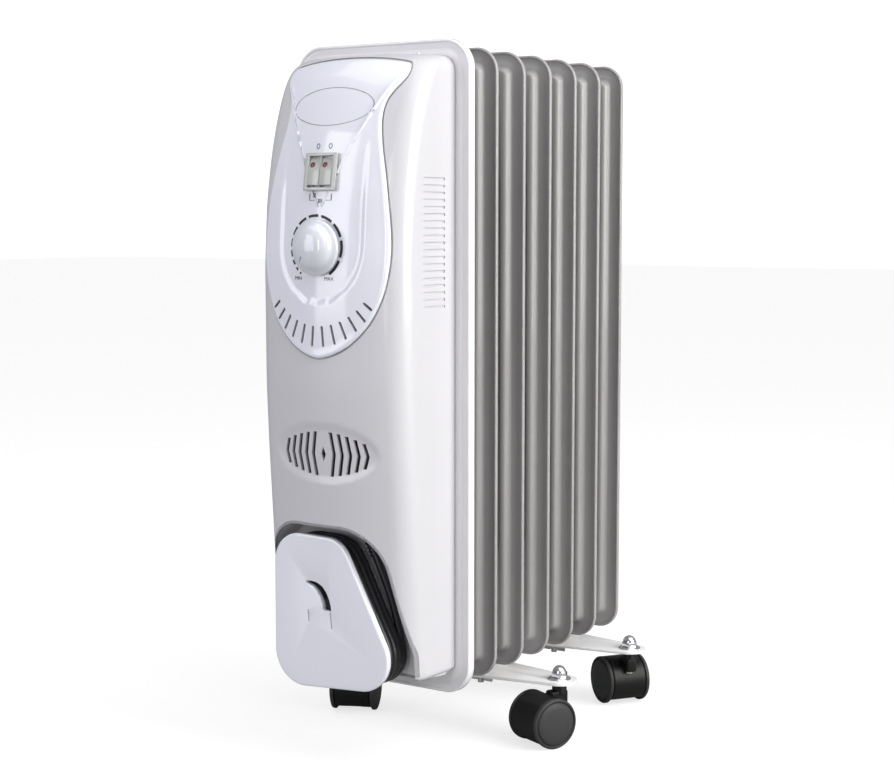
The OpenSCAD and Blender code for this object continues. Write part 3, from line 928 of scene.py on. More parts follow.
    def caps(self) -> None:
        """Closes both headers behind the last fin."""
        y = self.first + (self.count - 1) * self.pitch + 13
        parts = []
        for z in self.levels():
            profile = [(0, 2), (self.hub - 5, 2), (self.hub - 3.5, 1.6), (self.hub - 2, 2.0),
                       (self.hub - 0.6, 1.6), (self.hub, 0.6), (self.hub, 0.02), (0, 0.02)]
            parts.append(shift(turned("cap", profile, "Y", 72), y=y, z=z))
        deselect()
        bpy.ops.mesh.primitive_cylinder_add(vertices=6, radius=10.8 * MM, depth=2.2 * MM,
                                            rotation=(math.pi / 2, 0, 0),
                                            location=(0, (y + 2.9) * MM, self.levels()[1] * MM))
        nut = settle(bpy.context.object)
        parts.append(soften(nut, 0.5))
        parts.append(shift(turned("stud", [(0, 3), (12.6, 3), (14, 2.6), (14, 1.8), (0, 1.8)],
                                  "Y"), y=y, z=self.levels()[0]))
        fit(soften(joined("header_caps", parts), 0, angle=35), "fin_paint_and_shade",
            stands_for=["rear_plugs"])


# --- control housing --------------------------------------------------------------------


@dataclass
class Housing:
    """The moulded shell, its gloss panel and its prints.

    Attributes:
        first: the first fin's plane on Y, in millimetres.
        half: half the shell's width.
        corner: how far its front edges reach inwards.
        crown: how far its front bulges.
        skin: how far its back edge stands off the first fin.
        wall: its thickness.
        base: its lower edge above the floor.
        top: its upper edge.
        knob_z: the knob's height.
        switch_z: the switch's height.
        lean: the switch's lean in degrees.
        vents_z: the height that the vents fan out from.
        grille_z: the lower grille's height.
        scoop_z: the hand scoop's height.
        scale_x: the printed scale's place sideways.
        rows: (height, depth of the front's edges) pairs.
        panel_half: the right half of the panel's outline.
        recess: circles whose belt is the cord recess's outline.
        recess_floor: the recess's depth in front of the first fin.
        table: the smoothed rows.
    """

    first: float
    half: float = 79.5
    corner: float = 16.0
    crown: float = 11.0
    skin: float = 4.45
    wall: float = 2.5
    base: float = 90.0
    top: float = 641.0
    knob_z: float = 473.0
    switch_z: float = 538.0
    lean: float = 9.4
    vents_z: float = 464.0
    grille_z: float = 292.0
    scoop_z: float = 595.0
    scale_x: float = -3.6
    rows: tuple[Point, ...] = ((60, 60), (90, 67), (94, 70), (135, 73.5), (213, 79),
                               (292, 84.5), (350, 87.5), (461, 88), (513, 84.5), (552, 78),
                               (578, 71.5), (605, 62.5), (622, 54), (634, 45), (641, 34),
                               (650, 20))
    panel_half: tuple[Point, ...] = (
        (0, 377), (14, 380), (28, 387), (41, 398), (52, 412), (61, 431), (66, 452),
        (67.5, 475), (65, 505), (60, 535), (54, 562), (50.5, 582), (51, 596), (55, 606),
        (61, 615), (64, 622), (63, 629), (57, 633), (30, 636.5), (0, 637.5))
    recess: tuple[tuple[float, float, float], ...] = (
        (-34, 186, 40), (12, 178, 48), (33, 112, 42), (33, 40, 42), (-34, 40, 40))
    recess_floor: float = 46.0
    table: np.ndarray = field(init=False)

    def __post_init__(self) -> None:
        """Smooths the rows into an even table of depths."""
        z = np.arange(60.0, 650.5, 0.5)
        raw = np.interp(z, [r[0] for r in self.rows], [r[1] for r in self.rows])
        smooth = raw.copy()
        for i in range(len(z)):
            reach = int(min(24, 2 * max(1.0, self.top - z[i]), 2 * max(1.0, z[i] - self.base)))
            reach = max(1, reach)
            smooth[i] = raw[max(0, i - reach):i + reach + 1].mean()
        self.table = np.stack([z, smooth])

    def edge_depth(self, z: float) -> float:
        """Gives the depth of the front's edges at a height."""
        return float(np.interp(z, self.table[0], self.table[1]))

    def half_width(self, z: float) -> float:
        """Gives half the shell's width at a height, less at its round ends."""
        for start, radius in ((z - (self.top - 14), 14.0), ((self.base + 5) - z, 5.0)):
            if start > 0:
                return self.half - radius + math.sqrt(max(0.0, radius**2 - start**2))
        return self.half

    def depth(self, x: float, z: float) -> float:
        """Gives the shell's depth in front of the first fin at a place on its front."""
        flat = self.half - self.corner
        lean = math.atan(2 * self.crown / flat)
        r = self.corner / (1 - math.sin(lean))
        d = self.edge_depth(z)
        x = abs(x) * self.half / self.half_width(z)
        if x <= flat:
            e = math.hypot(x / 58, (z - 293) / 26)
            t = min(1.0, max(0.0, (1 - e) / 0.16))
            return d + self.crown * (1 - (x / flat) ** 2) - 2.0 * t * t * (3 - 2 * t)
        s = min(1.0, (x - self.half + r) / r)
        return d - r * math.cos(lean) + r * math.sqrt(1 - s * s)

    def plan(self, z: float) -> list[Point]:
        """Gives the shell's plan at a height, from the right back edge round to the left."""
        hw = self.half_width(z)
        flat = self.half - self.corner
        lean = math.atan(2 * self.crown / flat)
        r = self.corner / (1 - math.sin(lean))
        xs = [self.half - r + r * math.sin(math.radians(90 - k * (90 - math.degrees(lean)) / 10))
              for k in range(11)]
        xs += [flat * (1 - k / 36) for k in range(1, 37)]
        corner_y = -self.depth(hw, z)
        side = [(hw, -self.skin + (corner_y + self.skin) * k / 6) for k in range(6)]
        right = side + [(x * hw / self.half, -self.depth(x * hw / self.half, z)) for x in xs]
        return right + [(-x, y) for x, y in reversed(right[:-1])]

    def shell_surface(self, name: str) -> Object:
        """Lofts the shell's outer surface with its top and bottom, open at the back."""
        heights = [self.base, self.base + 0.8, self.base + 2, self.base + 3.5, self.base + 5]
        heights += list(np.linspace(self.base + 9, 610, 150)) + list(np.linspace(613, 637, 11))
        heights += [638.6, 639.8, 640.6, self.top]
        loops = [[(x, y, z) for x, y in self.plan(z)] for z in heights]
        for end, k in ((0, 0), (-1, len(loops))):
            flat = loops[end]
            extra = [[(x, -self.skin + (y + self.skin) * f, z) for x, y, z in flat]
                     for f in (0.66, 0.33, 0.0)]
            loops = list(reversed(extra)) + loops if k == 0 else loops + extra
        n = len(loops[0])
        points = [(x, y + self.first, z) for loop in loops for x, y, z in loop]
        faces = [(i * n + j, i * n + j + 1, (i + 1) * n + j + 1, (i + 1) * n + j)
                 for i in range(len(loops) - 1) for j in range(n - 1)]
        shell = from_mesh(name, points, faces)
        edit(shell, "VERT")
        bpy.ops.mesh.remove_doubles(threshold=0.00002)
        bpy.ops.mesh.normals_make_consistent(inside=False)
        leave()
        return shell

    def slot_cutter(self, x: float, z: float, length: float, width: float,
                    angle: float) -> Object:
        """Makes the tool for one round-ended slot in the front."""
        loop = []
        for end in (1, -1):
            for k in range(7):
                a = math.radians(30 * k) + (0 if end > 0 else math.pi)
                loop.append((width / 2 * math.cos(a),
                             end * (length - width) / 2 + width / 2 * math.sin(a)))
        a = math.radians(angle)
        loop = [(x + u * math.cos(a) + v * math.sin(a), z - u * math.sin(a) + v * math.cos(a))
                for u, v in loop]
        return prism("slot", loop, self.first - 125, self.first - 60)

    def vents(self) -> list[Object]:
        """Makes the tools for the fan of twelve vents."""
        tools = []
        for k in range(12):
            u = (k - 5.5) / 5.5
            angle, length = 50 * u, 18.5 - 8 * u * u
            reach = 59 + length / 2
            tools.append(self.slot_cutter(-reach * math.sin(math.radians(angle)),
                                          self.vents_z - reach * math.cos(math.radians(angle)),
                                          length, 2.6, angle))
        return tools

    def grille(self) -> list[Object]:
        """Makes the tools for the lower grille's bent slots."""
        tools = []
        mid = self.grille_z
        for k in range(-5, 6):
            half = 7.0 if k == 0 else (40 - 0.7 * k * k) / 2
            x, bend, w = k * 8.2, (0 if k == 0 else math.copysign(3.2, k)), 1.9
            if k == 0:
                loop = [(x + 2.6, mid), (x, mid + half), (x - 2.6, mid), (x, mid - half)]
            else:
                loop = [(x + bend + w, mid), (x + w, mid + half), (x - w, mid + half),
                        (x + bend - w, mid), (x - w, mid - half), (x + w, mid - half)]
            tools.append(prism("slot", loop, self.first - 125, self.first - 60))
        return tools

    def switch_block(self, size: Sequence[float], local: Sequence[float]) -> Object:
        """Makes a box in the leaning switch's own directions."""
        obj = block("switch_block", size, local)
        obj.data.transform(self.switch_matrix())
        return obj

    def switch_matrix(self) -> Matrix:
        """Gives the switch's place and lean."""
        place = Matrix.Translation((0, (self.first - 92.6) * MM, self.switch_z * MM))
        return place @ Matrix.Rotation(math.radians(-self.lean), 4, "X")

    def openings(self) -> list[Object]:
        """Makes the tools for the switch's window and the knob's shaft."""
        window = self.switch_block((30.6, 60, 29.6), (0, 12, 0))
        return [window, shift(bore(5, 30, "Y"), y=self.first - 95, z=self.knob_z)]

    def seat(self) -> Object:
        """Makes the tool for the thin groove that the panel's rim lies in."""
        outline = self.panel_loop()
        n = len(outline)
        rings = [[self.on_front(x, z, lift) for x, z in inward(outline, d)]
                 for d, lift in ((-1.6, 4.0), (-1.6, -1.9), (2.0, -1.9), (2.0, 4.0))]
        sides = len(rings)
        faces = [(k * n + j, k * n + (j + 1) % n, (k + 1) % sides * n + (j + 1) % n,
                  (k + 1) % sides * n + j) for k in range(sides) for j in range(n)]
        seat = from_mesh("seat", [p for ring in rings for p in ring], faces)
        mend(seat)
        return seat

    def shell(self) -> None:
        """Cuts the shell's openings and adds the cord recess."""
        volume = self.shell_surface("volume")
        shell = copied(volume, "housing_shell", Matrix.Identity(4))
        edit(volume, "EDGE")
        bpy.ops.mesh.select_all(action="DESELECT")
        bpy.ops.mesh.select_non_manifold(extend=False)
        bpy.ops.mesh.edge_face_add()
        leave()
        mend(volume)
        apply(shell, "SOLIDIFY", thickness=self.wall * MM, offset=-1.0)
        louvres = joined("louvres", [
            block("louvre", (20, 33, 2.4), (side * self.half, self.first - 36.5,
                                            420.8 + k * 6.2))
            for k in range(19) for side in (-1, 1)])
        cut(louvres, copied(volume, "louvre_floor", Matrix.Diagonal((1 - 1.2 / self.half, 1, 1, 1))))
        tools = self.vents() + self.grille() + [louvres, self.scoop_hole()]
        tools.append(prism("recess", wrapped(self.recess), self.first - 140,
                           self.first - self.recess_floor))
        tools += self.openings()
        cut(shell, joined("tools", tools))
        cut(shell, self.seat())
        soften(shell, 0, angle=32)
        fit(shell, "housing_plastic", stands_for=["casing"])
        liner = prism("cord_recess", wrapped(self.recess, self.wall), self.first - 140,
                      self.first - self.recess_floor + self.wall)
        cut(liner, prism("hollow", wrapped(self.recess), self.first - 150,
                         self.first - self.recess_floor))
        cut(liner, volume, "INTERSECT")
        soften(liner, 0.4, 2, 40)
        fit(liner, "housing_plastic")

    def pad(self, x: float, z: float) -> float:
        """Gives how far the panel sinks at a place in its dish."""
        u = abs(x) / (43 if z > 475 else 43 * math.sqrt(max(0.02, 1 - ((475 - z) / 50) ** 2)))
        t = min(1.0, max(0.0, (1.1 - u) / 0.16)) if z > 425 else 0.0
        fade = min(1.0, max(0.0, (572 - z) / 60))
        return 1.9 * t * t * (3 - 2 * t) * fade

    def scoop_hole(self) -> Object:
        """Makes the tool for the hand scoop's opening."""
        loop = [(42.6 * math.cos(a), self.scoop_z + 16.9 * math.sin(a))
                for a in np.linspace(0, 2 * math.pi, 97)[:-1]]
        return prism("scoop_hole", loop, self.first - 120, self.first - 50)

    def scoop(self, x: float, z: float) -> float:
        """Gives the depth of the crescent hand scoop at a place."""
        e = math.hypot(x / 41.5, (z - self.scoop_z) / 16.0)
        return 0.0 if e >= 1 else 9.0 * min(1.0, (1 - e) / 0.14) ** 0.7

    def lobe(self) -> None:
        """Makes the light tongue that fills the scoop's lower right."""
        count, radii = 120, list(np.linspace(0.02, 0.96, 26)) + [0.98, 0.992, 1.0, 1.0]
        reach = []
        for k in range(count):
            a = 2 * math.pi * k / count
            c = (math.cos(a), math.sin(a))
            t = 1.0
            while math.hypot((19 + 37 * t * c[0]) / 42.0,
                             (586.5 + 16 * t * c[1] - self.scoop_z) / 16.4) > 1 and t > 0.01:
                t -= 0.01
            reach.append((37 * t * c[0], 16 * t * c[1]))
        points = []
        for i, r in enumerate(radii):
            for px, pz in reach:
                x, z = 19 + px * r, 586.5 + pz * r
                side = min(1.0, max(0.0, (26 - x + 0.9 * (z - 586)) / 56))
                drop = 2.2 * side ** 1.4 + (0.5 if r > 0.995 else 0)
                points.append(self.on_front(x, z, -7.5 if i == len(radii) - 1 else 2.3 - drop))
        faces = ring_faces(len(radii), count)
        faces.append(list(range(count)))
        tongue = from_mesh("scoop_tongue", points, faces)
        turn_out(tongue)
        if tongue.data.polygons[-1].normal.y > 0:
            tongue.data.flip_normals()
        soften(tongue, 0, angle=45)
        fit(tongue, "panel_plastic")

    def panel_loop(self) -> list[Point]:
        """Gives the panel's smooth outline, anticlockwise from its foot."""
        half = list(self.panel_half)
        loop = half + [(-x, z) for x, z in reversed(half[1:-1])]
        return smooth_loop(loop, 5)

    def on_front(self, x: float, z: float, lift: float) -> tuple[float, float, float]:
        """Gives the point that stands a lift out of the shell's front."""
        return (x, self.first - self.depth(x, z) - lift, z)

    def panel(self) -> None:
        """Makes the gloss panel with its dish, vents and openings."""
        outline = self.panel_loop()
        n = len(outline)
        rim = [(0.0, -0.5), (0.0, 0.9), (0.12, 1.5), (0.5, 2.1), (1.1, 2.4), (2.0, 2.5),
               (3.4, 2.45), (5.0, 2.3)]
        rings = [[(x, z, lift) for x, z in inward(outline, d)] for d, lift in rim]
        last = np.array([(x, z) for x, z, _ in rings[-1]])
        middle = np.array([0.0, 505.0])
        for f in np.linspace(0.965, 0.05, 40):
            ring = middle + (last - middle) * f
            rings.append([(float(x), float(z), 2.3) for x, z in ring])
        points = [self.on_front(x, z, lift - (self.pad(x, z) if k > 6 else 0))
                  for k, ring in enumerate(rings) for x, z, lift in ring]
        points.append(self.on_front(0, 505, 2.3 - self.pad(0, 505)))
        faces = ring_faces(len(rings), n)
        tip = len(rings) * n
        faces += [(tip - n + j, tip - n + (j + 1) % n, tip) for j in range(n)]
        panel = from_mesh("control_fascia", points, faces)
        turn_out(panel)
        if panel.data.polygons[-1].normal.y > 0:
            panel.data.flip_normals()
        apply(panel, "SOLIDIFY", thickness=0.0016, offset=-1.0)
        tools = self.vents() + self.openings() + [self.scoop_hole()]
        for tool in reversed(tools):
            mend(tool)
            cut(panel, tool, solver="FAST")
        LOG.info("fascia has %d faces", len(panel.data.polygons))
        soften(panel, 0, angle=40)
        fit(panel, "panel_plastic", stands_for=["control_panel"])
        self.scoop_insert()

    def scoop_insert(self) -> None:
        """Makes the crescent scoop as a fine dish that fills its opening, coloured dark grey as
        painted shade for its hollow.
        """
        radii = [0.0] + list(np.linspace(0.04, 0.9, 34)) + [0.93, 0.955, 0.97, 0.985, 1.0, 1.012]
        count = 160
        points = []
        for r in radii:
            for k in range(count):
                a = 2 * math.pi * k / count
                x, z = 42.4 * r * math.cos(a), self.scoop_z + 16.7 * r * math.sin(a)
                points.append(self.on_front(x, z, 2.3 - self.scoop(x, z)))
        faces = ring_faces(len(radii), count)
        dish = from_mesh("hand_scoop", points, faces)
        mend(dish)
        if sum(p.normal.y for p in dish.data.polygons) > 0:
            dish.data.flip_normals()
        apply(dish, "SOLIDIFY", thickness=0.0012, offset=-1.0)
        soften(dish, 0, angle=48)
        # The dish's dark finish is painted shade for the hollow.
        fit(dish, "scoop_painted_shade")
        self.lobe()

    def strip(self, name: str, loops: Sequence[Sequence[Point]], lift: float = 2.5) -> Object:
        """Prints closed flat marks on the panel's face.

        Args:
            name: the print's name.
            loops: each mark's outline.
            lift: how far it stands out of the shell's front.

        Returns:
            The print.
        """
        marks = []
        for loop in loops:
            pts = [self.on_front(x, z, lift - self.pad(x, z)) for x, z in loop]
            half = len(pts) // 2
            faces = [(k, k + 1, len(pts) - 2 - k, len(pts) - 1 - k) for k in range(half - 1)]
            marks.append(from_mesh("mark", pts, faces))
        obj = joined(name, marks)
        turn_out(obj)
        if sum(p.normal.y for p in obj.data.polygons) > 0:
            obj.data.flip_normals()
        apply(obj, "SOLIDIFY", thickness=0.0002, offset=-1.0)
        return obj

    def prints(self) -> None:
        """Prints the knob's scale and the switch's plain marks."""
        loops = []
        mid = self.scale_x
        lengths = [1.8, 3.0, 4.4, 5.8, 7.0, 8.3, 9.6, 10.8, 12.0, 13.2, 14.6, 15.4]
        r = 27.6
        spare = math.radians(292) * r - sum(lengths)
        angle = math.radians(34)
        for k, length in enumerate(lengths):
            w = 0.9 + 0.35 * k / 11
            arc = [angle + length / r * t / 8 for t in range(9)]
            loops.append([(mid - (r - w) * math.sin(a), self.knob_z - (r - w) * math.cos(a))
                          for a in arc]
                         + [(mid - (r + w) * math.sin(a), self.knob_z - (r + w) * math.cos(a))
                            for a in reversed(arc)])
            angle += (length + spare / 11) / r
        fit(self.strip("scale_print", loops), "print_black")

        def bar(x0: float, z0: float, x1: float, z1: float) -> list[Point]:
            """Gives an upright rectangle's outline as two long sides."""
            return [(x0, z0), (x1, z0), (x1, z1), (x0, z1)]

        def ring(x: float, z: float) -> list[list[Point]]:
            """Gives an O as four curved strips."""
            out = []
            for q in range(4):
                arc = [math.pi / 2 * (q + t / 4) for t in range(5)]
                out.append([(x + 1.35 * math.cos(a), z + 1.8 * math.sin(a)) for a in arc]
                           + [(x + 1.85 * math.cos(a), z + 2.4 * math.sin(a))
                              for a in reversed(arc)])
            return out

        marks = ring(-6.6, 560.5) + ring(6.6, 560.5)
        marks += [bar(x, 516.4, x + 0.75, 520.0) for x in (-7.9, -6.2, 6.3)]
        marks += [bar(x, 511.4, x + 0.75, 515.0) for x in (-2.1, -0.4, 1.3)]
        for s in (-1, 1):
            marks += [bar(min(s * 12, s * 11.5), 514.0, max(s * 12, s * 11.5), 519.5),
                      bar(min(s * 12, s * 5), 513.6, max(s * 12, s * 5), 514.0)]
        fit(self.strip("switch_print", marks), "print_black")
        self.words()

    def words(self) -> None:
        """Sets the two plain words at the ends of the knob's scale."""
        words = []
        for word, x in (("MIN", -22.5), ("MAX", 11.5)):
            deselect()
            bpy.ops.object.text_add()
            text = bpy.context.object
            text.data.body = word
            text.data.align_x = "CENTER"
            text.data.size = 4.6 * MM
            text.data.resolution_u = 3
            activate(text)
            bpy.ops.object.convert(target="MESH")
            text = bpy.context.object
            for v in text.data.vertices:
                px, pz = v.co.x / MM + x, v.co.y / MM + 444.6
                v.co = Vector(self.on_front(px, pz, 2.5 - self.pad(px, pz))) * MM
            if sum(p.normal.y for p in text.data.polygons) > 0:
                text.data.flip_normals()
            words.append(text)
        fit(joined("scale_words", words), "print_black")

    def build(self) -> None:
        """Builds the housing's pieces."""
        self.shell()
        self.panel()
        self.prints()
        LOG.info("housing done")


# --- knob and switch --------------------------------------------------------------------


@dataclass
class Controls:
    """The thermostat knob and the double rocker switch.

    Attributes:
        housing: the shell that they sit on.
    """

    housing: Housing

    def knob(self) -> None:
        """Turns the domed knob with its skirt and cuts its marker groove."""
        profile = [(3.05, 0), (23.4, 0), (24.3, 0.5), (24.5, 1.4), (24.4, 2.6), (23.6, 3.6),
                   (21.9, 4.4), (20.9, 5.3), (20.1, 7.2), (18.7, 9.4), (16.6, 11.4),
                   (13.8, 13.1), (10.6, 14.2), (7.2, 14.8), (3.8, 15.1), (0, 15.2), (0, 11),
                   (3.05, 11), (3.05, 0)]
        knob = turned("thermostat_knob", profile, "Y", 96)
        knob.data.transform(Matrix.Rotation(math.pi, 4, "Z"))
        h = self.housing
        shift(knob, y=h.first - 101.85, z=h.knob_z)
        mend(knob)
        soften(knob, 0, angle=40)
        groove = block("groove", (1.5, 3, 9), (0, h.first - 115.0, h.knob_z))
        a = math.radians(215)
        turn = (Matrix.Translation((0, 0, h.knob_z * MM)) @ Matrix.Rotation(a, 4, "Y")
                @ Matrix.Translation((0, 0, (-h.knob_z + 14.0) * MM)))
        groove.data.transform(turn)
        cut(knob, groove)
        soften(knob, 0, angle=40)
        fit(knob, "knob_plastic", "knob_body", ["knob"])

    def switch(self) -> None:
        """Makes the switch's bevelled frame with its two wells."""
        h = self.housing
        body = block("switch_frame", (30, 26, 29), (0, 11.9, 0))
        flange = block("flange", (34, 2.4, 33), (0, -2.2, 0))
        soften(flange, 0.7, 3)
        cut(body, flange, "UNION")
        blades = [block("blade", (4.8, 7, 0.8), (x, 28.3, z + 0.4)) for x in (-8, 8)
                  for z in (-8, 8)]
        wells = [block("well", (12.6, 14.4, 27.8), (x, 2.8, 0)) for x in (-6.6, 6.6)]
        for well in wells:
            cut(body, well)
        body = joined("switch_frame", [body] + blades)
        soften(body, 0.25, 2, 40)
        body.data.transform(h.switch_matrix())
        fit(body, "switch_plastic", stands_for=["switch_body"])

    def rocker(self, side: str, x: float) -> None:
        """Makes one rocker with its lens.

        Args:
            side: left or right.
            x: its place sideways.
        """
        h = self.housing
        outline = [(-12.9, -6.2), (-12.6, -6.7), (-6, -7.5), (-1, -8.2), (0, -8.3), (1, -8.2),
                   (6, -7.5), (11.2, -6.9), (11.6, -6.4), (10.4, -1), (4, 3.4), (-4, 3.4),
                   (-11, -1)]
        obj = from_mesh("rocker", [(-6, y, z) for z, y in outline],
                        [list(range(len(outline)))])
        edit(obj)
        bpy.ops.mesh.extrude_region_move(TRANSFORM_OT_translate={"value": (12 * MM, 0, 0)})
        leave()
        mend(obj)
        soften(obj, 0.45, 3, 24)
        tilt = Matrix.Rotation(math.radians(-7), 4, "X")
        place = h.switch_matrix() @ Matrix.Translation((x * MM, 4.4 * MM, 0)) @ tilt
        obj.name = obj.data.name = f"rocker_paddle_{side}"
        obj.data.transform(place)
        body = f"rocker_{side}_body"
        fit(obj, "switch_plastic", body, [f"rocker_{side}"])
        lens = turned("lens", [(0, 0), (2.75, 0), (2.75, 3.6), (2.3, 4.1), (1.4, 4.5), (0, 4.7)],
                      "Y", 32)
        lens.data.transform(Matrix.Rotation(math.pi, 4, "Z"))
        shift(lens, x=-2.2, y=-4, z=5.0)
        mend(lens)
        lens.name = lens.data.name = f"pilot_lens_{side}"
        lens.data.transform(place)
        soften(lens, 0, angle=50)
        fit(lens, "lens_red", body, [f"rocker_lens_{side}"])

    def build(self) -> None:
        """Builds the controls."""
        self.knob()
        self.switch()
        for side, x in (("left", -6.6), ("right", 6.6)):
            self.rocker(side, x)
        LOG.info("controls done")


# --- cord winder ------------------------------------------------------------------------


@dataclass
class CordWinder:
    """The lead, its hub, its front plate and its plug.

    Attributes:
        first: the first fin's plane on Y, in millimetres.
        plate: circles whose belt is the plate's outline.
        cord: the lead's diameter.
        turns: how often it goes round the hub.
        route: the points that the lead follows, in metres.
    """

    first: float
    plate: tuple[tuple[float, float, float], ...] = (
        (-34, 189, 28), (-4, 190, 26), (33, 112, 30), (-30, 110, 32))
    cord: float = 7.0
    turns: int = 4
    route: list[tuple[float, ...]] = field(init=False, default_factory=list)

    def lead(self) -> Object:
        """Runs the lead from its sleeve, round the hub and into the plug.

        Returns:
            The lead's curve.
        """
        f = self.first
        start = [(18.1, f - 56, 222.0), (24.0, f - 55.8, 209.4), (29.1, f - 55.5, 198.4),
                 (35.6, f - 54.9, 184.0), (42.0, f - 54.2, 169.0), (47.2, f - 53.7, 155.0)]
        belt = wrapped(self.plate, -4.8, 720)
        belt = [belt[0]] + [p for a, p in zip(belt, belt[1:]) if math.dist(a, p) > 1e-6]
        belt = list(reversed(belt))
        walk = np.cumsum([0.0] + [math.dist(a, b) for a, b in zip(belt, belt[1:] + belt[:1])])
        loop = np.array(belt + belt[:1])
        total = float(walk[-1])
        near = min(range(len(belt)), key=lambda i: math.dist(belt[i], (49.0, 138.0)))
        s0 = float(walk[near])
        count = 30
        coil = []
        for k in range(self.turns * count - 1):
            s = (s0 + total * k / count) % total
            x = float(np.interp(s, walk, loop[:, 0]))
            z = float(np.interp(s, walk, loop[:, 1]))
            layer = k / count
            coil.append((x, f - 53.2 - 7.15 * min(layer, self.turns - 0.9), z))
        end = [(46.6, f - 70.0, 130.0), (44.6, f - 65.0, 120.0), (39.0, f - 61.5, 110.5),
               (30.0, f - 60.0, 104.0), (19.0, f - 59.5, 101.2), (8.0, f - 59.5, 101.0)]
        route = start + coil + end
        data = bpy.data.curves.new("mains_lead", "CURVE")
        data.dimensions = "3D"
        data.bevel_depth = self.cord / 2 * MM
        data.bevel_resolution = 4
        data.resolution_u = 4
        data.use_fill_caps = True
        spline = data.splines.new("NURBS")
        spline.points.add(len(route) - 1)
        for point, co in zip(spline.points, route):
            point.co = (co[0] * MM, co[1] * MM, co[2] * MM, 1)
        spline.order_u = 3
        spline.use_endpoint_u = True
        lead = bpy.data.objects.new("mains_lead", data)
        bpy.context.scene.collection.objects.link(lead)
        self.route = [tuple(c * MM for c in p) for p in route]
        return lead

    def plug(self) -> Object:
        """Moulds a plain plug with finger grips."""
        f = self.first
        body = block("plug_body", (18, 21.6, 25.6), (-15.0, f - 59.5, 101))
        press(body, lambda c, n: n.x > 0.5, ((1.6, 4.0), (3.0, 5.0), (1.6, 4.6)))
        soften(body, 1.4, 3, 30)
        ribs = []
        for k in range(3):
            for side in (-1, 1):
                rib = block("rib", (1.2, 14, 1.0), (-18 + k * 3.2, f - 59.5, 101 + side * 13.0))
                ribs.append(soften(rib, 0.3))
        return joined("moulded_plug", [body] + ribs)

    def hub(self) -> None:
        """Makes the cup that the lead is wound on."""
        f = self.first
        hub = prism("winder_hub", wrapped(self.plate, -9), f - 80.5, f - 46.0)
        cup = prism("cup", wrapped(self.plate, -11.5), f - 82, f - 48.5)
        posts = [shift(turned("post", [(0, -20), (5, -20), (5, 36), (0, 36)], "Y"), x=x,
                       y=f - 81, z=150) for x in (-22, 22)]
        for post in posts:
            cut(cup, post)
        cut(hub, cup)
        cut(hub, block("gate", (50, 40, 62), (45, f - 70.5, 115)))
        for x in (-22, 22):
            cut(hub, shift(bore(2.1, 60, "Y"), x=x, y=f - 60, z=150))
        soften(hub, 0.3, 2, 40)
        fit(hub, "housing_plastic", stands_for=["reel_hub"])

    def front(self) -> None:
        """Makes the winder's front plate with its half-round clip."""
        f = self.first
        plate = prism("winder_plate", wrapped(self.plate, 0, 200), f - 80.5, f - 85.4)
        press(plate, lambda c, n: n.y < -0.9,
              ((0.5, 0.45), (0.9, 0.25), (1.6, 0.1), (7.0, 0.0)))
        moon = [(-26, 175), (-20, 175.3), (-14, 174.5), (-8, 171.5), (-3.5, 166.5),
                (-0.5, 160.5), (1.2, 155), (1.9, 150), (-7.7, 150), (-8.6, 156), (-11, 161.5),
                (-14.5, 166.5), (-19, 170.5), (-26, 173)]
        tools = [prism("moon", moon, f - 95, f - 70)]
        for x, low, drift in ((-24, 138, 0.6), (0.6, 134, 1.8)):
            slit = [(x - 0.6, 149.0), (x + 0.7, 149.0), (x + drift + 0.7, low),
                    (x + drift - 0.6, low)]
            tools.append(prism("slit", slit, f - 95, f - 70))
        cut(plate, joined("tools", tools))
        soften(plate, 0.35, 2, 40)
        fit(plate, "panel_plastic", stands_for=["cord_plate"])

    def sleeve(self) -> Object:
        """Turns the tapered, ribbed sleeve at the lead's exit."""
        profile = [(3.6, -12.9), (6, -12.9), (6, 2.6)]
        for k in range(6):
            r = 5.8 - 0.28 * k
            z = 3.2 + 3.8 * k
            profile += [(r - 0.9, z), (r - 0.9, z + 1.0), (r, z + 1.4), (r - 0.1, z + 3.2)]
        profile += [(4.2, 26), (3.6, 26), (3.6, -12.9)]
        sleeve = turned("lead_sleeve", profile, "Z", 40)
        place = Matrix.Translation(Vector((18.1, self.first - 56, 222)) * MM)
        sleeve.data.transform(place @ Matrix.Rotation(math.radians(155), 4, "Y"))
        return soften(sleeve, 0, angle=40)

    def build(self) -> None:
        """Builds the lead and what holds it."""
        lead = self.lead()
        plug = self.plug()
        sleeve = self.sleeve()
        fit(sleeve, "cord_rubber", stands_for=["strain_relief"])
        fit(plug, "cord_rubber", stands_for=["plug"])
        fit(lead, "cord_rubber",
            stands_for=["mains_cord", "cord_coil", "cord_tail"])
        self.hub()
        self.front()
        LOG.info("winder done")


# --- underframe and casters -------------------------------------------------------------


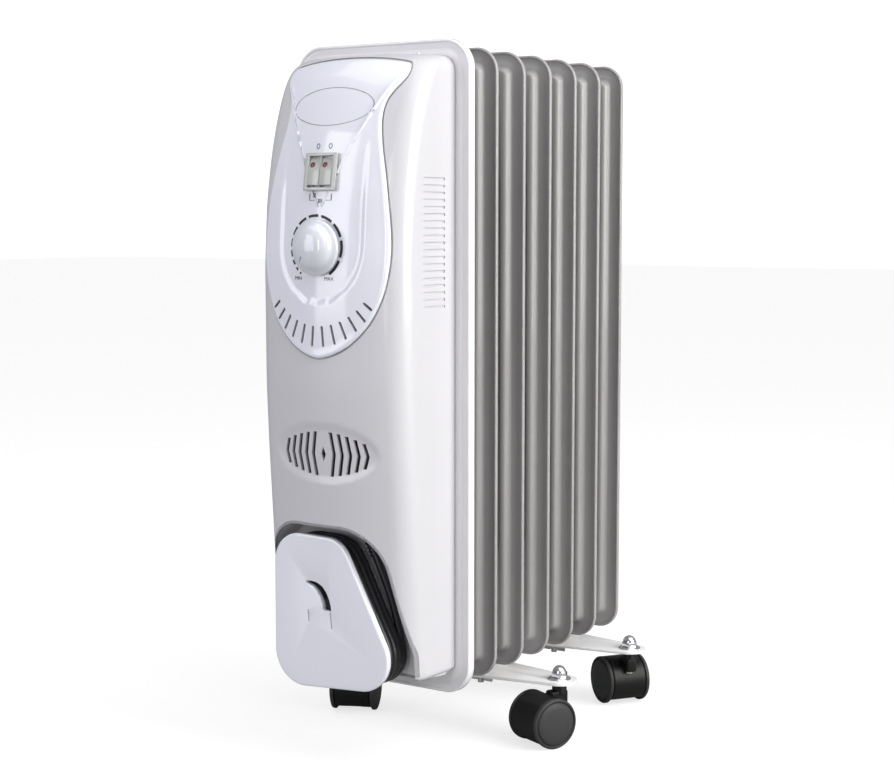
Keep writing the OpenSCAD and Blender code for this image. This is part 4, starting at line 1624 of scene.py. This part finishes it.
@dataclass
class Underframe:
    """The two painted brackets and their nuts.

    Attributes:
        places: the brackets' places on Y, in millimetres.
        stem: the stems' distance from the middle.
    """

    places: tuple[float, float]
    stem: float = 118.0

    def bracket(self, name: str, y: float) -> None:
        """Presses one bracket with its folded flanges."""
        shape = [(-self.stem, 0, 17), (self.stem, 0, 17)]
        corners = [(sx * 40, sy * 30, 0.01) for sx in (-1, 1) for sy in (-1, 1)]
        pts = wrapped(shape + corners, 0, 180)
        pts = [p for i, p in enumerate(pts) if math.dist(p, pts[i - 1]) > 1e-4]
        plate = prism("plate", pts, 0, 3)
        plate.data.transform(Matrix.Rotation(-math.pi / 2, 4, "X"))
        mend(plate)
        co = [v.co.z for v in plate.data.vertices]
        shift(plate, y=y, z=57 - min(co) / MM)
        for sx in (-1, 1):
            for radius, x in ((4.1, self.stem), (3.1, 29.3)):
                cut(plate, shift(bore(radius, 5), x=sx * x, y=y, z=58.5))
        parts = [soften(plate, 0.7, 3, 40)]
        for s in (-1, 1):
            flange = block("flange", (90, 3, 12.2), (0, y + s * 24, 65.9))
            parts.append(soften(flange, 0.7, 3))
        fit(soften(joined(f"{name}_pressing", parts), 0, angle=40), "bracket_paint",
            stands_for=[name])

    def nuts(self) -> None:
        """Makes the four chromed dome nuts with their flanges."""
        nuts = []
        for y in self.places:
            for sx in (-1, 1):
                flange = turned("flange", [(4.05, 0), (11, 0), (11.2, 0.5), (10.8, 1.2),
                                           (8.6, 2.3), (4.05, 2.3), (4.05, 0)], steps=64)
                deselect()
                bpy.ops.mesh.primitive_cylinder_add(vertices=6, radius=8.0 * MM,
                                                    depth=4.6 * MM,
                                                    location=(0, 0, 4.4 * MM))
                hexagon = settle(bpy.context.object)
                cone = turned("cone", [(0, -9), (7.2, -9), (9.3, 4.0), (7.0, 6.4), (0, 6.4)],
                              steps=48)
                cut(hexagon, shift(cone, z=1.2), "INTERSECT")
                soften(hexagon, 0.3, 2, 30)
                dome = turned("dome", [(0, 6.0), (6.9, 6.0), (6.8, 7.2), (6.1, 9.2), (4.9, 11.0),
                                       (3.2, 12.4), (1.4, 13.1), (0, 13.2)], steps=48)
                nut = joined("nut", [flange, hexagon, dome])
                nut.data.transform(Matrix.Rotation(0.4 + sx, 4, "Z"))
                nuts.append(shift(nut, x=sx * self.stem, y=y, z=60))
        fit(soften(joined("dome_nuts", nuts), 0, angle=40), "bright_chrome",
            stands_for=["caster_nuts"])

    def build(self) -> None:
        """Builds the brackets and nuts."""
        for name, y in zip(("front_bracket", "rear_bracket"), self.places):
            self.bracket(name, y)
        self.nuts()
        LOG.info("underframe done")


@dataclass
class Caster:
    """One twin-wheel swivel caster.

    Attributes:
        name: where it stands.
        x: its stem's place sideways, in millimetres.
        y: its stem's place on Y.
        heading: where its wheels trail, in degrees.
        trail: the axle's distance behind the stem.
        wheel: the wheels' radius.
    """

    name: str
    x: float
    y: float
    heading: float
    trail: float = 20.0
    wheel: float = 24.0

    def place(self) -> Matrix:
        """Gives the caster's place and turn."""
        return (Matrix.Translation((self.x * MM, self.y * MM, 0))
                @ Matrix.Rotation(math.radians(self.heading), 4, "Z"))

    def hood(self) -> None:
        """Moulds the hood: a web, a mudguard over both wheels and the stem's socket."""
        r = self.wheel - 0.2
        drum = turned("drum", [(0, -18), (r - 0.8, -18), (r, -17.2), (r, 17.2), (r - 0.8, 18),
                               (0, 18)], "Y", 96)
        hood = shift(drum, x=self.trail, z=self.wheel)
        for side in (-1, 1):
            well = turned("well", [(0, 0), (r - 3, 0), (r - 1.7, 1.4), (r - 1.7, 14), (0, 14)],
                          "Y", 96)
            if side < 0:
                well.data.transform(Matrix.Rotation(math.pi, 4, "Z"))
            cut(hood, shift(well, x=self.trail, y=side * 5.6, z=self.wheel))
        cut(hood, block("mouth", (32, 40, 20), (self.trail, 0, 0)))
        neck = block("neck", (20, 11.2, 14), (3, 0, 43))
        soften(neck, 2.4, 4)
        socket = shift(turned("socket", [(0, 0), (7, 0), (7, 7.2), (6.2, 8.6), (0, 8.6)],
                              steps=48), z=46)
        cut(hood, neck, "UNION")
        cut(hood, socket, "UNION")
        cut(hood, shift(turned("bore", [(0, 0), (4.06, 0), (4.06, 40), (0, 40)]), z=33.5))
        cut(hood, shift(bore(3.05, 30, "Y"), x=self.trail, z=self.wheel))
        soften(hood, 0.35, 2, 38)
        hood.name = hood.data.name = f"hood_{self.name}"
        hood.data.transform(self.place())
        fit(hood, "caster_plastic", f"caster_{self.name}",
            [f"caster_hood_{self.name}"])

    def wheels(self) -> None:
        """Turns both wheels: a ribbed drum, a tread and a dished disc."""
        w = self.wheel
        disc = [(3.1, 6), (20.8, 6), (21.5, 6.6), (21.6, 18.5), (w - 1.0, 18.5), (w, 19.1),
                (w, 21.2), (w - 0.7, 22.3), (w - 1.9, 22.7), (w - 2.6, 22.1), (w - 3.0, 21.3),
                (w - 3.5, 21.3), (w - 3.9, 22.3), (w - 5, 23.0), (14, 23.7), (6, 24.1),
                (2, 24.2), (0, 24.2), (0, 20.8), (3.1, 20.8), (3.1, 6)]
        for kind, turn in (("outer", math.pi), ("inner", 0.0)):
            wheel = turned("wheel", disc, "Y", 96)
            wheel.data.transform(Matrix.Rotation(turn, 4, "Z"))
            shift(wheel, x=self.trail, z=w)
            mend(wheel)
            soften(wheel, 0, angle=42)
            wheel.name = wheel.data.name = f"wheel_disc_{kind}_{self.name}"
            wheel.data.transform(self.place())
            fit(wheel, "wheel_plastic", f"wheel_{kind}_body_{self.name}",
                [f"wheel_{kind}_{self.name}"])

    def build(self) -> None:
        """Builds the caster."""
        self.hood()
        self.wheels()


# --- carried-over pieces ----------------------------------------------------------------

CARRIED = {
    "plated_steel": ("casing_screws", "reel_screws", "u_bolts", "wing_nuts", "caster_stems",
                     "thermostat_shaft", "element_flange"),
    "heater_steel": ("heating_element",),
    "gasket_fibre": ("element_gasket",),
    "contact_brass": ("element_terminals", "plug_pins"),
    "shield_aluminium": ("heat_shield",),
    "insulator_resin": ("thermostat", "thermal_cutout", "terminal_block"),
    "sleeve_braid": ("wiring",),
    "caster_plastic": ("cord_clamp",),
    "plate_paint": ("casing_tabs",),
}


def dress_carried(nodes: dict[str, Object]) -> None:
    """Gives the pieces that keep their CAD shape their finishes.

    Args:
        nodes: the frame's nodes by name.
    """
    for finish, names in CARRIED.items():
        for name in names:
            DRESSER.dress(nodes[name], finish)
    for name in CASTERS:
        DRESSER.dress(nodes[f"caster_axle_{name}"], "plated_steel")


def main() -> None:
    """Builds the heater around its frame."""
    logging.basicConfig(level=logging.INFO, format="%(message)s")
    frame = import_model()
    pitch = 48.0
    low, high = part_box("fin_2")
    first = (low.y + high.y) / 2 / MM - pitch
    Studio().build()
    CordWinder(first).build()
    housing = Housing(first)
    housing.build()
    Controls(housing).build()
    FinStack(first, pitch=pitch).build()
    front, rear = first + 2.5 * pitch, first + 5.5 * pitch
    Underframe((front, rear)).build()
    for name, heading in zip(CASTERS, (246, 294, 145, 35)):
        x = 118.0 if name.endswith("right") else -118.0
        Caster(name, x, front if name.startswith("front") else rear, heading).build()
        LOG.info("caster %s done", name)
    dress_carried(frame["nodes"])


if __name__ == "__main__":
    main()
